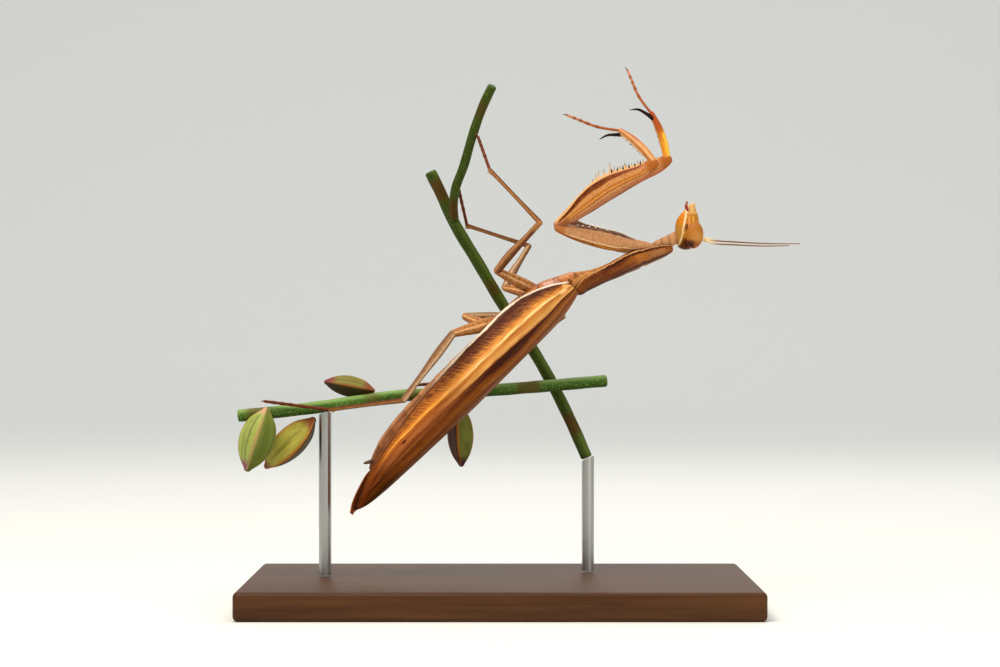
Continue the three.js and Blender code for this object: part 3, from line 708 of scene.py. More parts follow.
@dataclass(frozen=True)
class WingFinish(Surface):
    """A folded wing: colours across it from edge to edge, which change from its front to its rear."""

    front: Stops = ()
    rear: Stops = ()
    tip: Stops = ()
    rear_from: Limits = (16.0, 27.0)      # mm along between which the front's colours give way
    tip_from: Limits = (34.0, 39.0)
    stray: float = 0.18                   # how far the colours' edges stray, in the ramp's unit
    streak_grain: float = 0.3             # mm across one lengthwise streak
    streak_run: float = 0.07              # how many times wider than long it is
    # Dark and pale streaks: the noise between which they grow, their strength, colour and blending.
    streaks: tuple[tuple[float, float, float, str, str], ...] = (
        (0.42, 0.72, 0.5, "#a06a48", "MULTIPLY"), (0.5, 0.25, 0.35, "#6a5a40", "SCREEN"))
    hair: str = "#2c1208"                 # the fine slanting cross veins
    hair_gap: float = 0.3                 # mm from one cross vein to the next
    hair_slant: float = 0.8               # mm that they run rearwards for each one across
    hair_run: float = 0.4                 # how fast their noise changes along them, for each mm
    hair_edge: tuple[float, float] = (0.42, 0.6)      # the noise between which one shows
    # Spots: along, place across, half-length, half-width and colour.
    spots: tuple[tuple[float, float, float, float, str], ...] = ()
    spot_edge: tuple[float, float] = (1.25, 0.6)      # where one fades, in parts of its half-size
    spot_most: float = 0.9

    def ramp(self, tree: NodeTree, place: NodeSocket, stops: Stops) -> NodeSocket:
        """Reads the colours across the wing at a place from 0 to the last stop."""
        last = stops[-1][0]
        part = add_node(tree, "ShaderNodeMath", {"operation": "MULTIPLY"}, {1: 1 / last}, {0: place})
        node = add_node(tree, "ShaderNodeValToRGB", {}, {}, {"Fac": part.outputs[0]})
        elements = node.color_ramp.elements
        for number, (at, colour) in enumerate(stops):
            stop = elements[number] if number < 2 else elements.new(at / last)
            stop.position = at / last
            stop.color = linear(colour)
        return node.outputs["Color"]

    def colour(self, tree: NodeTree, lie: NodeSocket) -> NodeSocket:
        """Gives the colour, from the place in the flat wing."""
        noise = add_node(tree, "ShaderNodeTexNoise", {}, {"Scale": 0.5, "Detail": 4.0}, {"Vector": lie})
        apart = add_node(tree, "ShaderNodeSeparateXYZ", {}, {}, {0: lie})
        noted = add_node(tree, "ShaderNodeAttribute", {"attribute_name": TURN})
        strayed = add_node(tree, "ShaderNodeMath", {"operation": "MULTIPLY_ADD"},
                           {1: self.stray, 2: -self.stray / 2}, {0: noise.outputs["Fac"]})
        turn = add_node(tree, "ShaderNodeMath", {"operation": "ADD"}, {},
                        {0: noted.outputs["Fac"], 1: strayed.outputs[0]}).outputs[0]
        layers = []
        for stops, (start, stop) in ((self.rear, self.rear_from), (self.tip, self.tip_from)):
            share = add_node(tree, "ShaderNodeMapRange", SOFT_STEP,
                             {"From Min": start, "From Max": stop}, {"Value": apart.outputs[0]})
            layers.append((share.outputs[0], self.ramp(tree, turn, stops), "MIX"))
        stretched = add_node(tree, "ShaderNodeVectorMath", {"operation": "MULTIPLY"},
                             {1: (self.streak_run, 1.0, 0.0)}, {0: lie})
        grain = add_node(tree, "ShaderNodeTexNoise", {},
                         {"Scale": 1 / self.streak_grain, "Detail": 3.0, "Roughness": 0.65},
                         {"Vector": stretched.outputs[0]})
        for start, stop, most, over, kind in self.streaks:
            part = add_node(tree, "ShaderNodeMapRange", SOFT_STEP,
                            {"From Min": start, "From Max": stop, "To Max": most},
                            {"Value": grain.outputs["Fac"]})
            layers.append((part.outputs[0], over, kind))
        allowed = add_node(tree, "ShaderNodeAttribute", {"attribute_name": SHADE})
        beside, lengthwise = (add_node(tree, "ShaderNodeVectorMath", {"operation": "DOT_PRODUCT"}, {1: way},
                                       {0: lie}).outputs["Value"]
                              for way in ((1 / self.hair_gap, self.hair_slant / self.hair_gap, 0.0),
                                          (-self.hair_slant * self.hair_run, self.hair_run, 0.0)))
        sheared = add_node(tree, "ShaderNodeCombineXYZ", {}, {}, {0: beside, 1: lengthwise})
        veins = add_node(tree, "ShaderNodeTexNoise", {}, {"Scale": 1.0, "Detail": 2.0},
                         {"Vector": sheared.outputs[0]})
        hairs = add_node(tree, "ShaderNodeMapRange", SOFT_STEP,
                         {"From Min": self.hair_edge[0], "From Max": self.hair_edge[1]},
                         {"Value": veins.outputs["Fac"]})
        shown = add_node(tree, "ShaderNodeMath", {"operation": "MULTIPLY"}, {},
                         {0: hairs.outputs[0], 1: allowed.outputs["Fac"]})
        layers.append((shown.outputs[0], self.hair, "MIX"))
        for along, across, half_length, half_width, spot_colour in self.spots:
            near = [add_node(tree, "ShaderNodeMath", {"operation": "MULTIPLY_ADD"},
                             {1: 1 / half, 2: -centre / half}, {0: socket}).outputs[0]
                    for socket, centre, half in ((apart.outputs[0], along, half_length),
                                                 (turn, across, half_width))]
            place = add_node(tree, "ShaderNodeCombineXYZ", {}, {}, {0: near[0], 1: near[1]})
            far = add_node(tree, "ShaderNodeVectorMath", {"operation": "LENGTH"}, {}, {0: place.outputs[0]})
            spot = add_node(tree, "ShaderNodeMapRange", SOFT_STEP,
                            {"From Min": self.spot_edge[0], "From Max": self.spot_edge[1],
                             "To Max": self.spot_most}, {"Value": far.outputs["Value"]})
            layers.append((spot.outputs[0], spot_colour, "MIX"))
        return self.layered(tree, self.ramp(tree, turn, self.front), layers)


def dress(piece: Object, finish: Surface) -> Object:
    """Gives a whole piece one finish."""
    piece.data.materials.clear()
    piece.data.materials.append(finish.material())
    return piece


def hand_over(piece: Object, slot: str, *nodes: str) -> Object:
    """Finishes a piece: smooth shading, the body it rides on and the nodes it stands for."""
    select_only(piece)
    bpy.ops.object.shade_smooth()
    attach(piece, BODY)
    if nodes:
        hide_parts(*nodes)
    LOG.info("%s: %d faces, for %s", piece.name, len(piece.data.polygons), ", ".join(nodes) or "itself")
    return piece


# Insect cuticle, hardened as it grew: waxy, lightly glossy, with a pebbled relief and mottled pigment. The
# shaded colours of the trunk's pieces are painted shade in their folds.
ABDOMEN_CUTICLE = Finish(
    "insect_cuticle_abdomen", ground="#ae6f45", mottle="#8f5430", grain=0.8, streak=2.0, speck="#5f3821",
    bands=(Band("#6e3e23", edges=(1.68, 1.82), strength=0.7), Band("#8f5739", (None, -31.0), strength=0.5),
           Band("#c69064", edges=(1.2, 1.5), strength=0.5)),
    shaded="#5f331c")
TAIL_CUTICLE = Finish("insect_cuticle_tail", ground="#84644c", mottle="#5c4030", grain=0.3)
THORAX_CUTICLE = Finish(
    "insect_cuticle_thorax", ground="#cd8652", mottle="#ab6133", grain=0.6, speck="#935836",
    bands=(Band("#e4a576", (-1.5, 3.0), (1.0, 1.45), strength=0.6), Band("#773817", edges=(1.5, 1.62)),
           Band("#f9cdce", (-1.6, 0.4), (0.75, 1.2), strength=0.5),
           Band("#975023", (0.2, 0.7), strength=0.7, fade=0.2)),
    shaded="#5d2d17")
BREAST_CUTICLE = Finish(
    "insect_cuticle_breast", ground="#bc7c38", mottle="#9e5925", grain=0.5, speck="#925e33",
    bands=(Band("#cb9453", (0.0, 5.5), strength=0.5), Band("#743d10", (-0.3, 0.25), fade=0.2),
           Band("#652d0b", (0.6, 1.5), (0.9, 1.5), fade=0.3, strength=0.8),
           Band("#ce9869", (12.2, None), strength=0.8),
           Band("#552507", (8.0, 14.0), edges=(0.6, 0.78), strength=0.8)),
    shaded="#653318")
PRONOTUM_CUTICLE = Finish(
    "insect_cuticle_pronotum", ground="#6c350e", mottle="#894a1a", grain=0.7, streak=1.6, speck="#371407",
    speck_size=0.22, relief=0.05,
    bands=(Band("#a9601e", (8.6, None), edges=(0.2, 1.1), strength=0.6, fade=1.5),
           Band("#c5762c", (10.2, 12.2), edges=(0.3, 0.9), strength=0.65, fade=0.6),
           Band("#b77b4e", (12.4, 15.0), edges=(0.3, 0.8), strength=0.65, fade=0.8),
           Band("#491b06", (1.6, 9.0), edges=(0.7, 1.0), strength=0.6, fade=1.5),
           Band("#572309", (2.0, 10.0), edges=(0.2, 0.45), strength=0.5, fade=1.5),
           Band("#2c0d05", (5.0, None), edges=(0.93, 1.1), soft=0.05, strength=0.9),
           Band("#d49a62", edges=(1.12, 1.21), soft=0.025, strength=0.9),
           Band("#371406", edges=(1.28, None), strength=0.8),
           Band("#250b03", edges=(None, 0.14), strength=0.8)))
HEAD_CUTICLE = Finish(
    "insect_cuticle_head", ground="#c6832c", mottle="#b16d1b", grain=0.6, speck="#90561a", wander=0.1,
    bands=(Band("#db7e10", (0.4, 2.6), (-1.9, -1.2), (-1.6, -0.6), Track.UP, 0.1, strength=0.9),
           Band("#cc9642", (-2.6, 0.2), (-2.4, -1.5), (-2.4, -1.3), Track.UP, 0.15, strength=0.7),
           Band("#ca7d20", (-1.8, 1.2), (-0.3, None), None, Track.UP, 0.3, 0.4, 0.8),
           Band("#552105", (-0.35, 0.55), (-1.08, -0.72), (-0.95, -0.62), Track.UP, 0.08, 0.15, 0.9),
           Band("#e3a15c", (-0.9, 1.6), (-0.7, -0.5), (-0.5, -0.3), Track.UP, 0.08, 0.3, 0.6),
           Band("#94370c", (None, -1.75), (0.1, None), None, Track.UP, 0.35, 0.35, 0.85),
           Band("#431704", (None, -1.5), (-1.2, 0.15), None, Track.UP, 0.2, 0.35, 0.95),
           Band("#dfb06f", (2.2, None), fade=0.3, strength=0.85),
           Band("#f1dcab", (0.15, 3.5), (-1.34, -1.15), (-0.62, -0.4), Track.UP, 0.03, 0.05),
           Band("#eed19f", (-3.2, 0.25), (-1.46, -1.3), (-1.35, -1.16), Track.UP, 0.03, 0.05),
           Band("#ebbf49", (0.8, 1.8), (0.1, 0.3), None, Track.UP, 0.06, 0.15, 0.9)))
PALP_CUTICLE = Finish("insect_cuticle_palp", ground="#b0503c", mottle="#8c3024", grain=0.4, relief=0.01)
PALP_CUTICLE_PALE = replace(PALP_CUTICLE, name="insect_cuticle_palp_pale", ground="#e8b880", mottle="#c88c58")
FEELER_CUTICLE = Finish("insect_cuticle_feeler", ground="#8e6040", mottle="#74482c", grain=0.4, relief=0.01,
                        bands=(Band("#f0d4a4", (None, 2.9), fade=1.2),))

# The cornea of the compound eye, clear over ochre facets: dimmer than glass, with a soft small highlight.
EYE_CORNEA = Finish(
    "insect_eye_cornea", ground="#bb782d", mottle="#a9681d", grain=0.6, streak=2.5, roughness=0.42,
    specular=0.2, relief=0.008, relief_grain=0.06, wander=0.12,
    bands=(Band("#c6893b", (None, 0.4), (-0.2, 1.0), None, Track.UP, 0.5, strength=0.7),
           Band("#a5581a", (1.0, None), fade=0.6, strength=0.4),
           Band("#903e14", (None, -0.9), (None, 1.0), None, Track.UP, 0.5, 0.4, 0.8),
           Band("#391306", (None, -0.9), (None, -0.1), None, Track.UP, 0.3, 0.35, 0.95)))

# Cuticle of the grasping legs: cream rims, brown lens and raised orange ridge along the femur.
FORE_COXA = Finish(
    "insect_cuticle_fore_coxa", ground="#d29a6b", mottle="#b47b4f", grain=0.35, speck="#a0785a",
    speck_size=0.3,
    bands=(Band("#633725", (1.6, 9.6), (1.55, None), soft=0.05, strength=0.85),
           Band("#d7a274", (1.6, 9.6), (1.36, 1.5), soft=0.06, strength=0.6),
           Band("#f3c995", edges=(0.52, 0.64), soft=0.04, strength=0.9),
           Band("#955316", (1.5, None), edges=(None, 0.5), soft=0.05, strength=0.95),
           Band("#ce8829", (1.5, 6.0), edges=(0.2, 0.42), soft=0.06, strength=0.7),
           # Painted shadow: purple-black where the near coxa's top meets the far coxa behind it.
           Band("#28121c", (0.8, 4.0), (1.5, None), soft=0.06, strength=0.8),
           Band("#b06329", (10.9, None), strength=0.8)))
FORE_COXA_FAR = Finish("insect_cuticle_fore_coxa_far", ground="#5c3a1e", mottle="#3c2212", grain=0.4,
                       speck="#8a6438", speck_size=0.25, contrast=0.3,
                       bands=(Band("#c49468", (None, 3.4), fade=1.0, strength=0.8),
                              Band("#b8864e", edges=(1.85, None), strength=0.8)))
FORE_FEMUR = Finish(
    "insect_cuticle_fore_femur", ground="#c18059", mottle="#ae6d48", grain=0.5, streak=3.0, speck="#93572d",
    wander=0.1,
    bands=(Band("#cc8d50", (1.0, 15.5), (0.76, 1.0), soft=0.05),
           Band("#c1772b", (1.6, 15.0), (1.0, 1.14), soft=0.04, strength=0.9),
           Band("#a0591f", (2.0, 14.5), (1.05, 1.085), soft=0.025, strength=0.7),
           Band("#dd8f37", (1.2, 15.2), (1.13, 1.21), soft=0.025, strength=0.9),
           Band("#7c4117", (1.0, 15.0), (1.23, 1.275), soft=0.025, strength=0.8),
           Band("#d4924b", (1.6, 15.4), (1.3, 1.42), soft=0.03, strength=0.85),
           Band("#753c1e", (0.5, 15.5), (1.84, None), soft=0.05, strength=0.8),
           Band("#75340b", (0.8, 5.2), (0.7, 0.9), (0.31, 0.72), soft=0.045, fade=0.2),
           Band("#75340b", (4.8, 8.8), (0.3, 0.7), (0.41, 0.78), soft=0.045, fade=0.2),
           Band("#75340b", (8.4, 14.9), (0.41, 0.78), (0.4, 0.58), soft=0.045, fade=0.2),
           Band("#471b04", (0.6, 5.2), (0.7, 0.86), (0.31, 0.58), soft=0.05, fade=0.2, strength=0.85),
           Band("#471b04", (4.8, 9.5), (0.31, 0.56), (0.4, 0.62), soft=0.05, fade=0.4, strength=0.75),
           Band("#e3ae70", (0.1, 5.2), (None, 0.7), (None, 0.29), soft=0.03, fade=0.2),
           Band("#e3ae70", (4.8, 17.0), (None, 0.29), (None, 0.36), soft=0.03, fade=0.2),
           Band("#935430", (None, 2.0), (1.0, None), strength=0.8),
           Band("#c85715", (12.6, 16.2), (1.7, None), fade=0.8, strength=0.8),
           Band("#a85c16", (15.3, None), strength=0.9)))
FORE_TIBIA_NEAR = Finish(
    "insect_cuticle_fore_tibia_near", ground="#d09154", mottle="#b8743d", grain=0.5, streak=2.0,
    bands=(Band("#a8472a", (3.5, None), (0.9, None), fade=1.2, strength=0.7),
           Band("#dcac7c", edges=(0.9, 1.3), strength=0.7), Band("#a4642a", edges=(0.5, 0.8), strength=0.6)))
FORE_TIBIA_FAR = Finish(
    "insect_cuticle_fore_tibia_far", ground="#f7a834", mottle="#dc8728", grain=0.5, streak=2.0,
    bands=(Band("#a03a20", (3.2, None), fade=1.6, strength=0.85),
           Band("#f6c044", (None, 3.4), (1.1, None), fade=0.8)))
FORE_FOOT = Finish(
    "insect_cuticle_fore_foot", ground="#b0683a", mottle="#944a24", grain=0.4, streak=2.0, relief=0.015,
    toned="#8a4424", bands=(Band("#d89c74", (5.5, None), fade=0.6, strength=0.6),))

# Cuticle of the walking legs, matt and finely speckled, darker below and at the joints.
WALK_COXA = Finish("insect_cuticle_walk_coxa", ground="#ba7f47", mottle="#985c2a", grain=0.5, speck="#643919",
                   bands=(Band("#7d471e", edges=(0.2, 0.5), strength=0.6),
                          Band("#d7a16c", edges=(0.9, 1.2))))
WALK_FEMUR = Finish(
    "insect_cuticle_walk_femur", ground="#a47d56", mottle="#895e3a", grain=0.4, streak=2.5, speck="#5a3b23",
    speck_size=0.2,
    bands=(Band("#694023", edges=(1.25, None), strength=0.7), Band("#c09d78", edges=(0.5, 0.9)),
           Band("#794a23", edges=(None, 0.3), strength=0.7)))
WALK_FEMUR_BROWN = Finish(
    "insect_cuticle_walk_femur_brown", ground="#90603c", mottle="#744426", grain=0.4, streak=2.5,
    speck="#5c3a20", speck_size=0.2,
    bands=(Band("#5c3018", edges=(1.2, None), strength=0.7), Band("#b0784c", edges=(0.4, 0.9)),
           Band("#a87444", (9.4, None))))
WALK_TIBIA = Finish(
    "insect_cuticle_walk_tibia", ground="#8a5220", mottle="#6c3c14", grain=0.4, streak=3.0, speck="#4c2a10",
    speck_size=0.2,
    bands=(Band("#b07c48", edges=(0.6, 1.1), strength=0.6), Band("#5c2e10", edges=(1.4, None))))
WALK_FOOT = Finish("insect_cuticle_walk_foot", ground="#783416", mottle="#54240e", grain=0.4, relief=0.015,
                   toned="#5c2a14")
SPINE_CUTICLE = Finish("insect_cuticle_spine", ground="#e6c090", mottle="#d8a870", grain=0.4, toned="#1a0e08",
                       roughness=0.35, relief=0.01)
BEAD_CUTICLE = Finish("insect_cuticle_bead", ground="#fff0d8", mottle="#f4dcb4", grain=0.4, relief=0.01)
TOE_CUTICLE = Finish("insect_cuticle_toe", ground="#8a5230", mottle="#5c3018", grain=0.3, relief=0.01)
CLAW_CUTICLE = Finish("insect_cuticle_claw", ground="#2c1610", mottle="#150a06", grain=0.4, roughness=0.25,
                      relief=0.01, toned="#8c4a24")

# Forewing: leathery cuticle drawn out thin over its veins, with a soft sheen and fine lengthwise streaks.
FOREWING_LEATHER = WingFinish(
    "insect_wing_leathery", roughness=0.45, relief=0.03, relief_grain=0.1,
    spots=((32.5, 1.42, 0.42, 0.13, "#551505"), (1.4, 1.2, 0.7, 0.25, "#ffc889"),
           (0.6, 0.7, 0.5, 0.5, "#f4ae65")),
    front=((0.0, "#fff4e4"), (0.085, "#f4dcbc"), (0.11, "#461e0d"), (0.25, "#5a2712"), (0.45, "#7f411c"),
           (0.6, "#a8642b"), (0.76, "#e0913b"), (0.9, "#eaa053"), (0.97, "#fcd787"), (1.03, "#fce19c"),
           (1.1, "#db8d40"), (1.26, "#c07732"), (1.48, "#de9643"), (1.8, "#f6b96a"), (1.93, "#c97f38"),
           # From 2 to 3 across, the darkest browns are painted shadow on the back of the fold, turned from
           # the light.
           (2.02, "#823408"), (2.12, "#471904"), (2.6, "#471905"), (2.86, "#6a2f0a"), (3.02, "#8d4a11"),
           (3.3, "#ac641b"), (3.55, "#793a07"), (3.8, "#9d5718"), (4.0, "#69320c")),
    rear=((0.0, "#a06c44"), (0.05, "#693619"), (0.12, "#572b0f"), (0.22, "#9d571c"), (0.5, "#b56621"),
          (0.82, "#c77625"), (0.93, "#e79333"), (1.0, "#f9ab46"), (1.1, "#be6d20"), (1.3, "#9d531c"),
          (1.6, "#b16630"), (1.85, "#9d5523"), (2.0, "#823d15"), (2.2, "#a75e22"), (2.5, "#803c13"),
          (2.8, "#94501a"), (3.1, "#a55e1f"), (3.35, "#834313"), (3.7, "#8b4c17"), (4.0, "#6d3a13")),
    tip=((0.0, "#602908"), (0.15, "#7f3f0c"), (0.6, "#874009"), (1.0, "#8c4209"), (1.4, "#622b05"),
         (1.9, "#984b11"), (2.3, "#5d2a04"), (2.8, "#88460c"), (3.3, "#532a02"), (4.0, "#5f3504")))
FOREWING_LEATHER_FAR = WingFinish(
    "insect_wing_leathery_far", roughness=0.45, relief=0.03, relief_grain=0.1,
    front=FOREWING_LEATHER.front, rear=FOREWING_LEATHER.rear,
    tip=((0.0, "#3c1708"), (0.5, "#57260d"), (1.0, "#672e0f"), (2.0, "#57260a"), (4.0, "#451f06")))
# Hindwing: clear membrane folded in many layers, browned where its tip shows between the forewings.
HINDWING_MEMBRANE = Finish("insect_wing_membrane", ground="#8a5a30", mottle="#6e4424", grain=0.8, streak=6.0,
                           bands=(Band("#a0501e", (36.5, None), fade=1.0, strength=0.9),))

# Skin of a green shoot: waxed, ribbed, staining brown as it ripens. A mapping in millimetres along the shoot.
STEM_SKIN = Finish(
    "green_shoot_skin", ground="#3c4c0c", mottle="#2a3a08", grain=1.6, streak=6.0, roughness=0.5,
    speck="#566828", bands=(Band("#6c8034", edges=(0.5, 1.0), soft=0.3, strength=0.4),), shaded="#50300e")
LOW_STEM_SKIN = Finish(
    "green_shoot_skin_young", ground="#4a7026", mottle="#385818", grain=1.4, streak=6.0, roughness=0.5,
    # On the low stem, the paler top is a painted highlight and the darker underside is painted shade.
    speck="#7c9850", bands=(Band("#88a85c", edges=(None, 0.7), soft=0.3, strength=0.7),
                            Band("#28440e", edges=(1.3, None), soft=0.3, strength=0.8)), shaded="#5c4a1c")
# Skin of a ripening capsule: ribs stained brown or orange, faces yellow-green to olive, a dark tip. The
# shaded colour, deep green to maroon, is painted shade on the face turned from the light.
POD_SKIN_GREEN = Finish(
    "seed_capsule_skin_green", ground="#a4ac5a", mottle="#8a9644", grain=0.7, streak=5.0, roughness=0.5,
    bands=(Band("#5c6c3c", (1.2, 8.0), (1.32, 1.46), strength=0.8),
           Band("#66763e", (1.5, 8.0), (1.6, 1.7), strength=0.6),
           Band("#5c6c3c", (1.5, 8.0), (0.35, 0.5), strength=0.7),
           Band("#c89878", (None, 1.0), fade=0.4), Band("#84485c", (8.2, None), fade=0.5, strength=0.9)),
    shaded="#66762c", toned="#a88c58")
POD_SKIN_YELLOW = replace(
    POD_SKIN_GREEN, name="seed_capsule_skin_yellow", ground="#b0a84c", mottle="#948e34",
    bands=(Band("#6c6a30", (2.0, 9.0), (0.42, 0.54), strength=0.6), Band("#8c4c2c", (None, 1.6), fade=0.7),
           Band("#6a3430", (9.3, None), fade=0.7, strength=0.9)),
    shaded="#3c1814", toned="#c07c34")
POD_SKIN_SMALL = replace(
    POD_SKIN_GREEN, name="seed_capsule_skin_small", ground="#84803a", mottle="#6c6028",
    bands=(Band("#5c5424", (1.0, 6.5), (1.3, 1.5), strength=0.7), Band("#84482c", (None, 1.6), fade=0.6),
           Band("#7c2c3c", (6.2, None), fade=0.5, strength=0.9)),
    shaded="#241c0c", toned="#8c5428")
POD_SKIN_RIPE = replace(
    POD_SKIN_GREEN, name="seed_capsule_skin_ripe", ground="#7c8034", mottle="#646828",
    bands=(Band("#845838", (None, 1.4), fade=0.5), Band("#4a2034", (7.9, None), fade=0.6, strength=0.9)),
    shaded="#4c1c28", toned="#b0702c")

# A plain base of oiled wood, its grain along it, and short steel rods.
OILED_WALNUT = Finish("oiled_walnut", ground="#3c2414", mottle="#5c3a20", grain=1.1, streak=22.0,
                      contrast=0.3, roughness=0.4, relief=0.05)
BRUSHED_STEEL = Finish("brushed_steel", ground="#b8b8b6", mottle="#a4a4a2", grain=0.5, metallic=1.0,
                       roughness=0.3, relief=0.01)


# ---------------------------------------------------------------------------------------------------------
# Body
# ---------------------------------------------------------------------------------------------------------

TRUNK = Place((8.65, 0.0, 45.43), 45.2, 0.0, 152.0)
FORE = Place((10.16, -0.6, 45.14), 22.9, 13.6, 152.0)
HEAD = Place((27.2, 4.2, 53.95), 83.7, 0.0, 195.0)


@dataclass
class Trunk:
    """Thorax, ringed abdomen, breast, neck and the two tail feelers, under one skin."""

    abdomen: tuple[Station, ...] = (
        (-37.5, 0.5, 0.45, -1.0), (-36.6, 0.9, 0.75, -1.25), (-34.0, 1.8, 1.4, -1.6),
        (-30.0, 2.5, 1.95, -1.7), (-24.0, 2.8, 2.15, -1.65), (-18.0, 2.75, 2.15, -1.65),
        (-12.3, 2.6, 2.0, -1.6), (-9.0, 2.5, 1.9, -1.6))
    thorax: tuple[Station, ...] = (
        (-12.3, 2.6, 2.0, -1.6), (-9.0, 2.7, 2.1, -1.6), (-5.0, 2.7, 2.05, -1.3), (-2.0, 2.4, 1.9, -0.8),
        (0.6, 1.6, 1.4, -0.1), (1.9, 1.15, 1.0, 0.25))
    breast: tuple[Station, ...] = (
        (-0.7, 1.3, 1.48, -1.05), (1.0, 1.3, 1.42, -0.9), (2.1, 1.25, 1.28, -0.75), (3.1, 1.15, 1.08, -0.6),
        (4.2, 1.1, 1.0, -0.5), (6.2, 1.1, 0.92, -0.45), (8.2, 1.3, 1.04, -0.5), (10.3, 1.5, 1.1, -0.6),
        (12.3, 1.2, 0.95, -0.75), (13.6, 0.95, 0.82, -0.9), (16.0, 0.95, 0.9, -1.0), (18.6, 0.85, 0.85, -1.2))
    sides: int = 32
    ends: tuple[float, float] = (0.6, 0.9)
    # Folds lie at an angle round from the back, in radians.
    abdomen_front: float = -12.9
    ring: float = 3.06            # mm from one ring of the abdomen to the next
    ring_step: float = 0.05
    flank_fold: Ridge = Ridge(1.75, 0.09, -0.05)
    seams: tuple[float, ...] = (-11.6, -8.4, -5.6, -3.2, -0.9)     # between the plates of the thorax
    seam_width: float = 0.14
    seam_depth: float = 0.07
    seam_slant: float = 0.5
    plate_fold: Ridge = Ridge(2.0, 0.08, -0.05)
    plates_from: float = 0.9      # the angle past which the plates show beside the wings
    neck: tuple[float, float] = (13.2, 14.0)      # where the breast turns into the neck
    neck_wrinkle: float = 0.05
    neck_wave: float = 5.2        # radians of a wrinkle for each mm along
    neck_lag: float = 1.2
    breast_wrinkle: float = 0.02
    breast_wave: float = 4.1
    breast_fold: Ridge = Ridge(1.9, 0.12, -0.06)
    fold_level: float = 0.985     # the scale below which a fold shows painted shade
    fold_gain: float = 14.0
    fold_most: float = 0.8
    tail_root: Point = (-36.0, 0.55, -1.3)
    tail_length: float = 1.5
    tail_spread: float = 0.42
    tail_sizes: Sizes = ((0, 0.34), (0.5, 0.3), (1, 0.2))
    tail_joint: float = 0.25
    tail_swell: float = 0.14

    def rings(self, x: Array, angle: Array) -> Array:
        """Steps the abdomen's rings and folds its flanks."""
        place = np.maximum(0.0, (self.abdomen_front - x) / self.ring)
        steps = np.where(place > 0, self.ring_step * (1 - place + np.floor(place)), 0.0)
        return 1 - steps + self.flank_fold.over(np.abs(angle))

    def plates(self, x: Array, angle: Array) -> Array:
        """Parts the plates of the thorax along its flanks."""
        side = np.abs(angle)
        across = sum(self.seam_depth * hump(x - self.seam_slant * side, at, self.seam_width)
                     for at in self.seams)
        return 1 - (across - self.plate_fold.over(side)) * (side > self.plates_from)

    def folds(self, x: Array, angle: Array) -> Array:
        """Wrinkles the neck and the soft skin beside the breast."""
        neck = rise(x, *self.neck)
        rings = self.neck_wrinkle * neck * np.cos(x * self.neck_wave + self.neck_lag * np.cos(angle))
        wrinkles = self.breast_wrinkle * (1 - neck) * np.cos(x * self.breast_wave)
        return 1 + rings + wrinkles + self.breast_fold.over(np.abs(angle)) * (1 - neck)

    def skin(self, stations: Sequence[Station], rings: int, form: Form, finish: Finish,
             place: Place) -> Object:
        """Makes one stretch of the skin, its folds noted as painted shade.

        Args:
            stations: What it is drawn through.
            rings: How many rings.
            form: Its folds.
            finish: Its finish.
            place: Its frame.

        Returns:
            The stretch, in its place.
        """
        piece = shell(stations, rings, self.sides, self.ends, form)
        points = points_of(piece)
        lift = np.interp(points[:, 0], *np.array(stations).T[[0, 3]])
        folds = form(points[:, 0], np.arctan2(points[:, 1], points[:, 2] - lift))
        note(piece, SHADE, np.clip((self.fold_level - folds) * self.fold_gain, 0, self.fold_most))
        return set_down(dress(piece, finish), place.matrix())

    def tails(self) -> list[Object]:
        """Makes the two tail feelers of short joints."""
        made = []
        for side in Side:
            start = np.array(self.tail_root) * (1, side.value, 1)
            bends = [np.array((-1, self.tail_spread * side.value * (1 + t), -0.1)) * t * self.tail_length
                     for t in (0, 0.5, 1)]
            beads = tube(Route([start + bend for bend in bends]), self.tail_sizes, 24, 8,
                         form=jointed(self.tail_joint, self.tail_swell))
            made.append(set_down(dress(beads, TAIL_CUTICLE), TRUNK.matrix()))
        return made

    def build(self) -> None:
        """Builds the skin and hands it over."""
        stretches = [self.skin(self.abdomen, 90, self.rings, ABDOMEN_CUTICLE, TRUNK),
                     self.skin(self.thorax, 50, self.plates, THORAX_CUTICLE, TRUNK),
                     self.skin(self.breast, 80, self.folds, BREAST_CUTICLE, FORE)]
        skin = join("body_skin", [*stretches, *self.tails()])
        hand_over(skin, "cuticle", "thorax", "abdomen", "neck", "cercus_left", "cercus_right")


